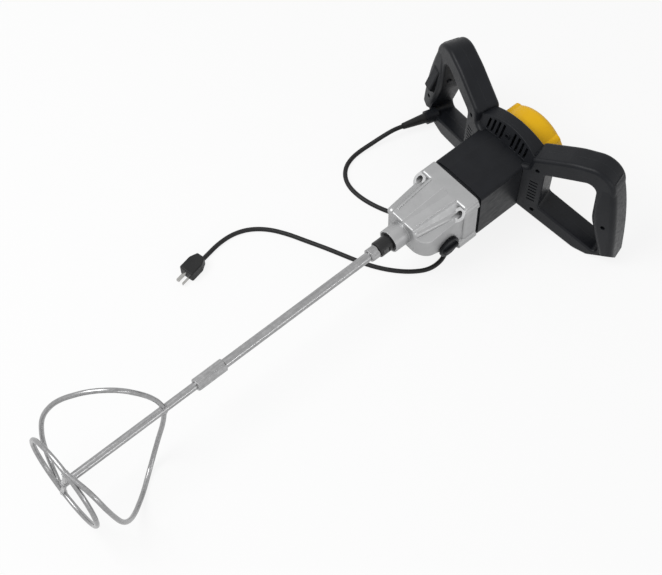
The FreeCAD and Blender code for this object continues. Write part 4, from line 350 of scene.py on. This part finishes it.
def make_finishes():
    return {
        "black_plastic": moulded_plastic(
            "black plastic", colour=(0.0056, 0.0063, 0.0082), worn_and_highlight=(0.0110, 0.0122, 0.0150),
            roughness=0.40, grain=0.16, specular=0.18),
        "yellow_plastic": moulded_plastic(
            "yellow plastic", colour=(0.80, 0.44, 0.004), worn_and_highlight=(0.84, 0.49, 0.010),
            roughness=0.40, grain=0.06, specular=0.20),
        "black_rubber": rubber(
            "black rubber", colour=(0.007, 0.007, 0.0075), dusty=(0.014, 0.014, 0.0145), roughness=0.48),
        "cast_aluminium": cast_metal(
            "cast aluminium", colour=(0.40, 0.402, 0.405), shade=(0.36, 0.362, 0.365), roughness=0.42),
        "zinc_steel": drawn_metal(
            "zinc plated steel", colour=(0.40, 0.40, 0.404), shade=(0.23, 0.23, 0.232), roughness=0.25),
        "black_steel": drawn_metal(
            "black oxide steel", colour=(0.022, 0.022, 0.023), shade=(0.012, 0.012, 0.0125),
            roughness=0.32, metallic=0.5),
        "gear_steel": machined_steel(
            "gear steel", colour=(0.42, 0.42, 0.43), shade=(0.30, 0.30, 0.31), roughness=0.30),
        "bearing_steel": machined_steel(
            "bearing steel", colour=(0.60, 0.60, 0.61), shade=(0.48, 0.48, 0.49), roughness=0.20),
        "core_laminations": stacked_sheets(
            "core sheets", colour=(0.34, 0.34, 0.35), shade=(0.14, 0.14, 0.15), pitch=0.0012),
        "copper": wound_wire(
            "copper wire", colour=(0.72, 0.33, 0.16), shade=(0.40, 0.15, 0.06), pitch=0.0012),
        "carbon": pressed_carbon(
            "carbon", colour=(0.035, 0.035, 0.037), shade=(0.018, 0.018, 0.019)),
        "bright_brass": drawn_metal(
            "plated brass", colour=(0.46, 0.455, 0.44), shade=(0.33, 0.325, 0.31), roughness=0.22),
    }


def add_mesh(name, points, faces, finish):
    mesh = bpy.data.meshes.new(name)
    mesh.from_pydata(points, [], faces)
    mesh.materials.append(finish)
    made = bpy.data.objects.new(name, mesh)
    bpy.context.scene.collection.objects.link(made)
    return made


# Stage

def make_camera():
    down = math.radians(CAMERA_DOWN)
    heading = math.radians(CAMERA_HEADING)
    roll = math.radians(CAMERA_ROLL)
    flat = math.cos(down)
    ahead = Vector((flat * math.cos(heading), flat * math.sin(heading), -math.sin(down)))
    level = Vector((math.sin(heading), -math.cos(heading), 0.0))
    above = level.cross(ahead)
    right = level * math.cos(roll) + above * math.sin(roll)
    up = above * math.cos(roll) - level * math.sin(roll)
    lens = bpy.data.cameras.new("camera")
    lens.sensor_fit = "HORIZONTAL"
    lens.sensor_width = SENSOR_WIDTH
    lens.lens = SENSOR_WIDTH * FOCAL_PIXELS / IMAGE_WIDTH
    camera = bpy.data.objects.new("camera", lens)
    turn = Matrix((right, up, -ahead)).transposed().to_4x4()
    camera.matrix_world = Matrix.Translation(CAMERA_PLACE) @ turn
    bpy.context.scene.collection.objects.link(camera)
    bpy.context.scene.camera = camera


def white_rays(nodes, links):
    """One where a ray comes from the camera, a gloss or a clear surface."""
    path = nodes.new("ShaderNodeLightPath")
    total = path.outputs["Is Camera Ray"]
    for name in ("Is Glossy Ray", "Is Transmission Ray"):
        larger = nodes.new("ShaderNodeMath")
        larger.operation = "MAXIMUM"
        links.new(total, larger.inputs[0])
        links.new(path.outputs[name], larger.inputs[1])
        total = larger.outputs["Value"]
    return total


def make_floor():
    """A pale floor that is mostly plain white to the camera and still takes the shadows."""
    finish = Finish("pale floor", FLOOR_COLOUR, FLOOR_ROUGHNESS, specular=FLOOR_SPECULAR)
    white = finish.node("ShaderNodeEmission", {"Color": WHITE, "Strength": 1.0})
    share = finish.node("ShaderNodeMath", operation="MULTIPLY")
    finish.links.new(white_rays(finish.nodes, finish.links), share.inputs[0])
    share.inputs[1].default_value = FLOOR_WHITE_SHARE
    mix = finish.node("ShaderNodeMixShader")
    finish.links.new(share.outputs["Value"], mix.inputs["Fac"])
    finish.links.new(finish.shader.outputs["BSDF"], mix.inputs[1])
    finish.links.new(white.outputs["Emission"], mix.inputs[2])
    finish.links.new(mix.outputs["Shader"], finish.nodes["Material Output"].inputs["Surface"])
    half = FLOOR_SIZE / 2
    corners = [(-half, -half, 0), (half, -half, 0), (half, half, 0), (-half, half, 0)]
    floor = add_mesh("floor", corners, [(0, 1, 2, 3)], finish.material)


def make_sky():
    world = bpy.data.worlds.new("studio")
    world.use_nodes = True
    nodes = world.node_tree.nodes
    links = world.node_tree.links
    background = nodes["Background"]
    background.inputs["Color"].default_value = WHITE
    strength = nodes.new("ShaderNodeMapRange")
    strength.inputs["To Min"].default_value = SKY_STRENGTH
    strength.inputs["To Max"].default_value = 1.0
    links.new(white_rays(nodes, links), strength.inputs["Value"])
    links.new(strength.outputs["Result"], background.inputs["Strength"])
    bpy.context.scene.world = world


def make_lamp(name, place, target, power, size, height=None):
    lamp = bpy.data.lights.new(name, "AREA")
    lamp.shape = "DISK"
    lamp.size = size
    if height is not None:
        lamp.shape = "RECTANGLE"
        lamp.size_y = height
    lamp.energy = power
    holder = bpy.data.objects.new(name, lamp)
    holder.location = place
    holder.rotation_euler = (Vector(target) - Vector(place)).to_track_quat("-Z", "Y").to_euler()
    bpy.context.scene.collection.objects.link(holder)


def make_stage():
    make_camera()
    make_floor()
    make_sky()
    make_lamp("key lamp", KEY_PLACE, LAMP_TARGET, KEY_POWER, KEY_SIZE)
    make_lamp("strip lamp", STRIP_PLACE, LAMP_TARGET, STRIP_POWER, STRIP_LENGTH, STRIP_HEIGHT)
    bpy.context.scene.view_settings.view_transform = "Standard"


# Cord

def make_cord(finish):
    route = CORD_START + [(x, y, CORD_FLOOR_HEIGHT) for x, y in CORD_ON_FLOOR]
    curve = bpy.data.curves.new("power_cord_line", "CURVE")
    curve.dimensions = "3D"
    curve.bevel_depth = CORD_DIAMETER / 2
    curve.bevel_resolution = CORD_ROUND_STEPS
    curve.use_fill_caps = True
    spline = curve.splines.new("NURBS")
    spline.points.add(len(route) - 1)
    for point, place in zip(spline.points, route):
        point.co = (*place, 1.0)
    spline.order_u = CORD_CURVE_ORDER
    spline.use_endpoint_u = True
    spline.resolution_u = CORD_CURVE_STEPS
    spline.use_smooth = True
    cord = bpy.data.objects.new("power_cord_line", curve)
    bpy.context.scene.collection.objects.link(cord)
    curve.materials.append(finish)
    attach(cord, "root")
    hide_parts("power_cord")


# Weld beads where the paddle's pieces meet

def bead_around(middle, axis, radius):
    """Points and faces of one rippled bead that runs around a round bar."""
    side = axis.orthogonal().normalized()
    other = axis.cross(side)
    points = []
    faces = []
    for step in range(WELD_STEPS):
        turn = math.tau * step / WELD_STEPS
        out = side * math.cos(turn) + other * math.sin(turn)
        bead = WELD_BEAD * (1.0 + WELD_RIPPLE * math.sin(WELD_RIPPLES * turn))
        following = (step + 1) % WELD_STEPS
        for corner in range(WELD_SIDES):
            lean = math.tau * corner / WELD_SIDES
            away = out * (radius + bead * math.cos(lean))
            points.append(middle + away + axis * (bead * math.sin(lean)))
            beside = (corner + 1) % WELD_SIDES
            faces.append((step * WELD_SIDES + corner, following * WELD_SIDES + corner,
                          following * WELD_SIDES + beside, step * WELD_SIDES + beside))
    return points, faces


def outward(angle):
    turn = math.radians(angle)
    return Vector((0.0, math.cos(turn), math.sin(turn)))


def weld_places():
    """Middle and axis of each bead, around the crossbar and around the wires."""
    hub = Vector((RING_X, 0.0, SPINDLE_HEIGHT))
    joint = hub + Vector((WIRE_WELD_DISTANCE, 0.0, 0.0))
    for half_turn in (0.0, 180.0):
        bar = outward(CROSSBAR_ANGLE + half_turn)
        yield hub + bar * SHAFT_RADIUS, bar
        yield hub + bar * (RING_RADIUS - WIRE_RADIUS), bar
        wire = outward(CROSSBAR_ANGLE + WIRE_TURN + half_turn)
        yield joint + wire * SHAFT_RADIUS, (wire + Vector((WIRE_LEAN, 0.0, 0.0))).normalized()


def make_welds(finish):
    points = []
    faces = []
    for middle, axis in weld_places():
        start = len(points)
        bead_points, bead_faces = bead_around(middle, axis, WIRE_RADIUS)
        points += bead_points
        faces += [tuple(start + index for index in face) for face in bead_faces]
    welds = add_mesh("paddle_welds", points, faces, finish)
    welds.data.polygons.foreach_set("use_smooth", [True] * len(faces))
    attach(welds, "spindle_body")


# Painted shade: a black plate that closes the view through the vents

def rounded_plan(x0, x1, half_width, corner, steps):
    """Plan of a plate with rounded corners, as points in order."""
    centres = [(x1 - corner, half_width - corner), (x0 + corner, half_width - corner),
               (x0 + corner, corner - half_width), (x1 - corner, corner - half_width)]
    points = []
    for quarter, (x, y) in enumerate(centres):
        for step in range(steps + 1):
            turn = math.pi / 2 * (quarter + step / steps)
            points.append((x + corner * math.cos(turn), y + corner * math.sin(turn)))
    return points


def make_vent_shade_plate(finish):
    plan = rounded_plan(VENT_SHADE_FRONT_X, VENT_SHADE_REAR_X, VENT_SHADE_HALF_WIDTH, VENT_SHADE_CORNER,
                        VENT_SHADE_CORNER_STEPS)
    count = len(plan)
    points = [(x, y, VENT_SHADE_LOW) for x, y in plan] + [(x, y, VENT_SHADE_HIGH) for x, y in plan]
    faces = [tuple(reversed(range(count))), tuple(range(count, 2 * count))]
    for index in range(count):
        following = (index + 1) % count
        faces.append((index, following, following + count, index + count))
    # A black plastic sheet that stands in for the shade inside the vents.
    shade_plate = add_mesh("vent_shade_plate", points, faces, finish)
    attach(shade_plate, "root")


# Finish of each solid, by its slot

def dress_nodes(finishes):
    for name, node in NODES.items():
        finish = finishes[SLOTS[name]]
        if not node.material_slots:
            node.data.materials.append(finish)
        for slot in node.material_slots:
            slot.material = finish


finishes = make_finishes()
dress_nodes(finishes)
make_cord(finishes["black_rubber"])
make_welds(finishes["zinc_steel"])
make_vent_shade_plate(finishes["black_plastic"])
make_stage()
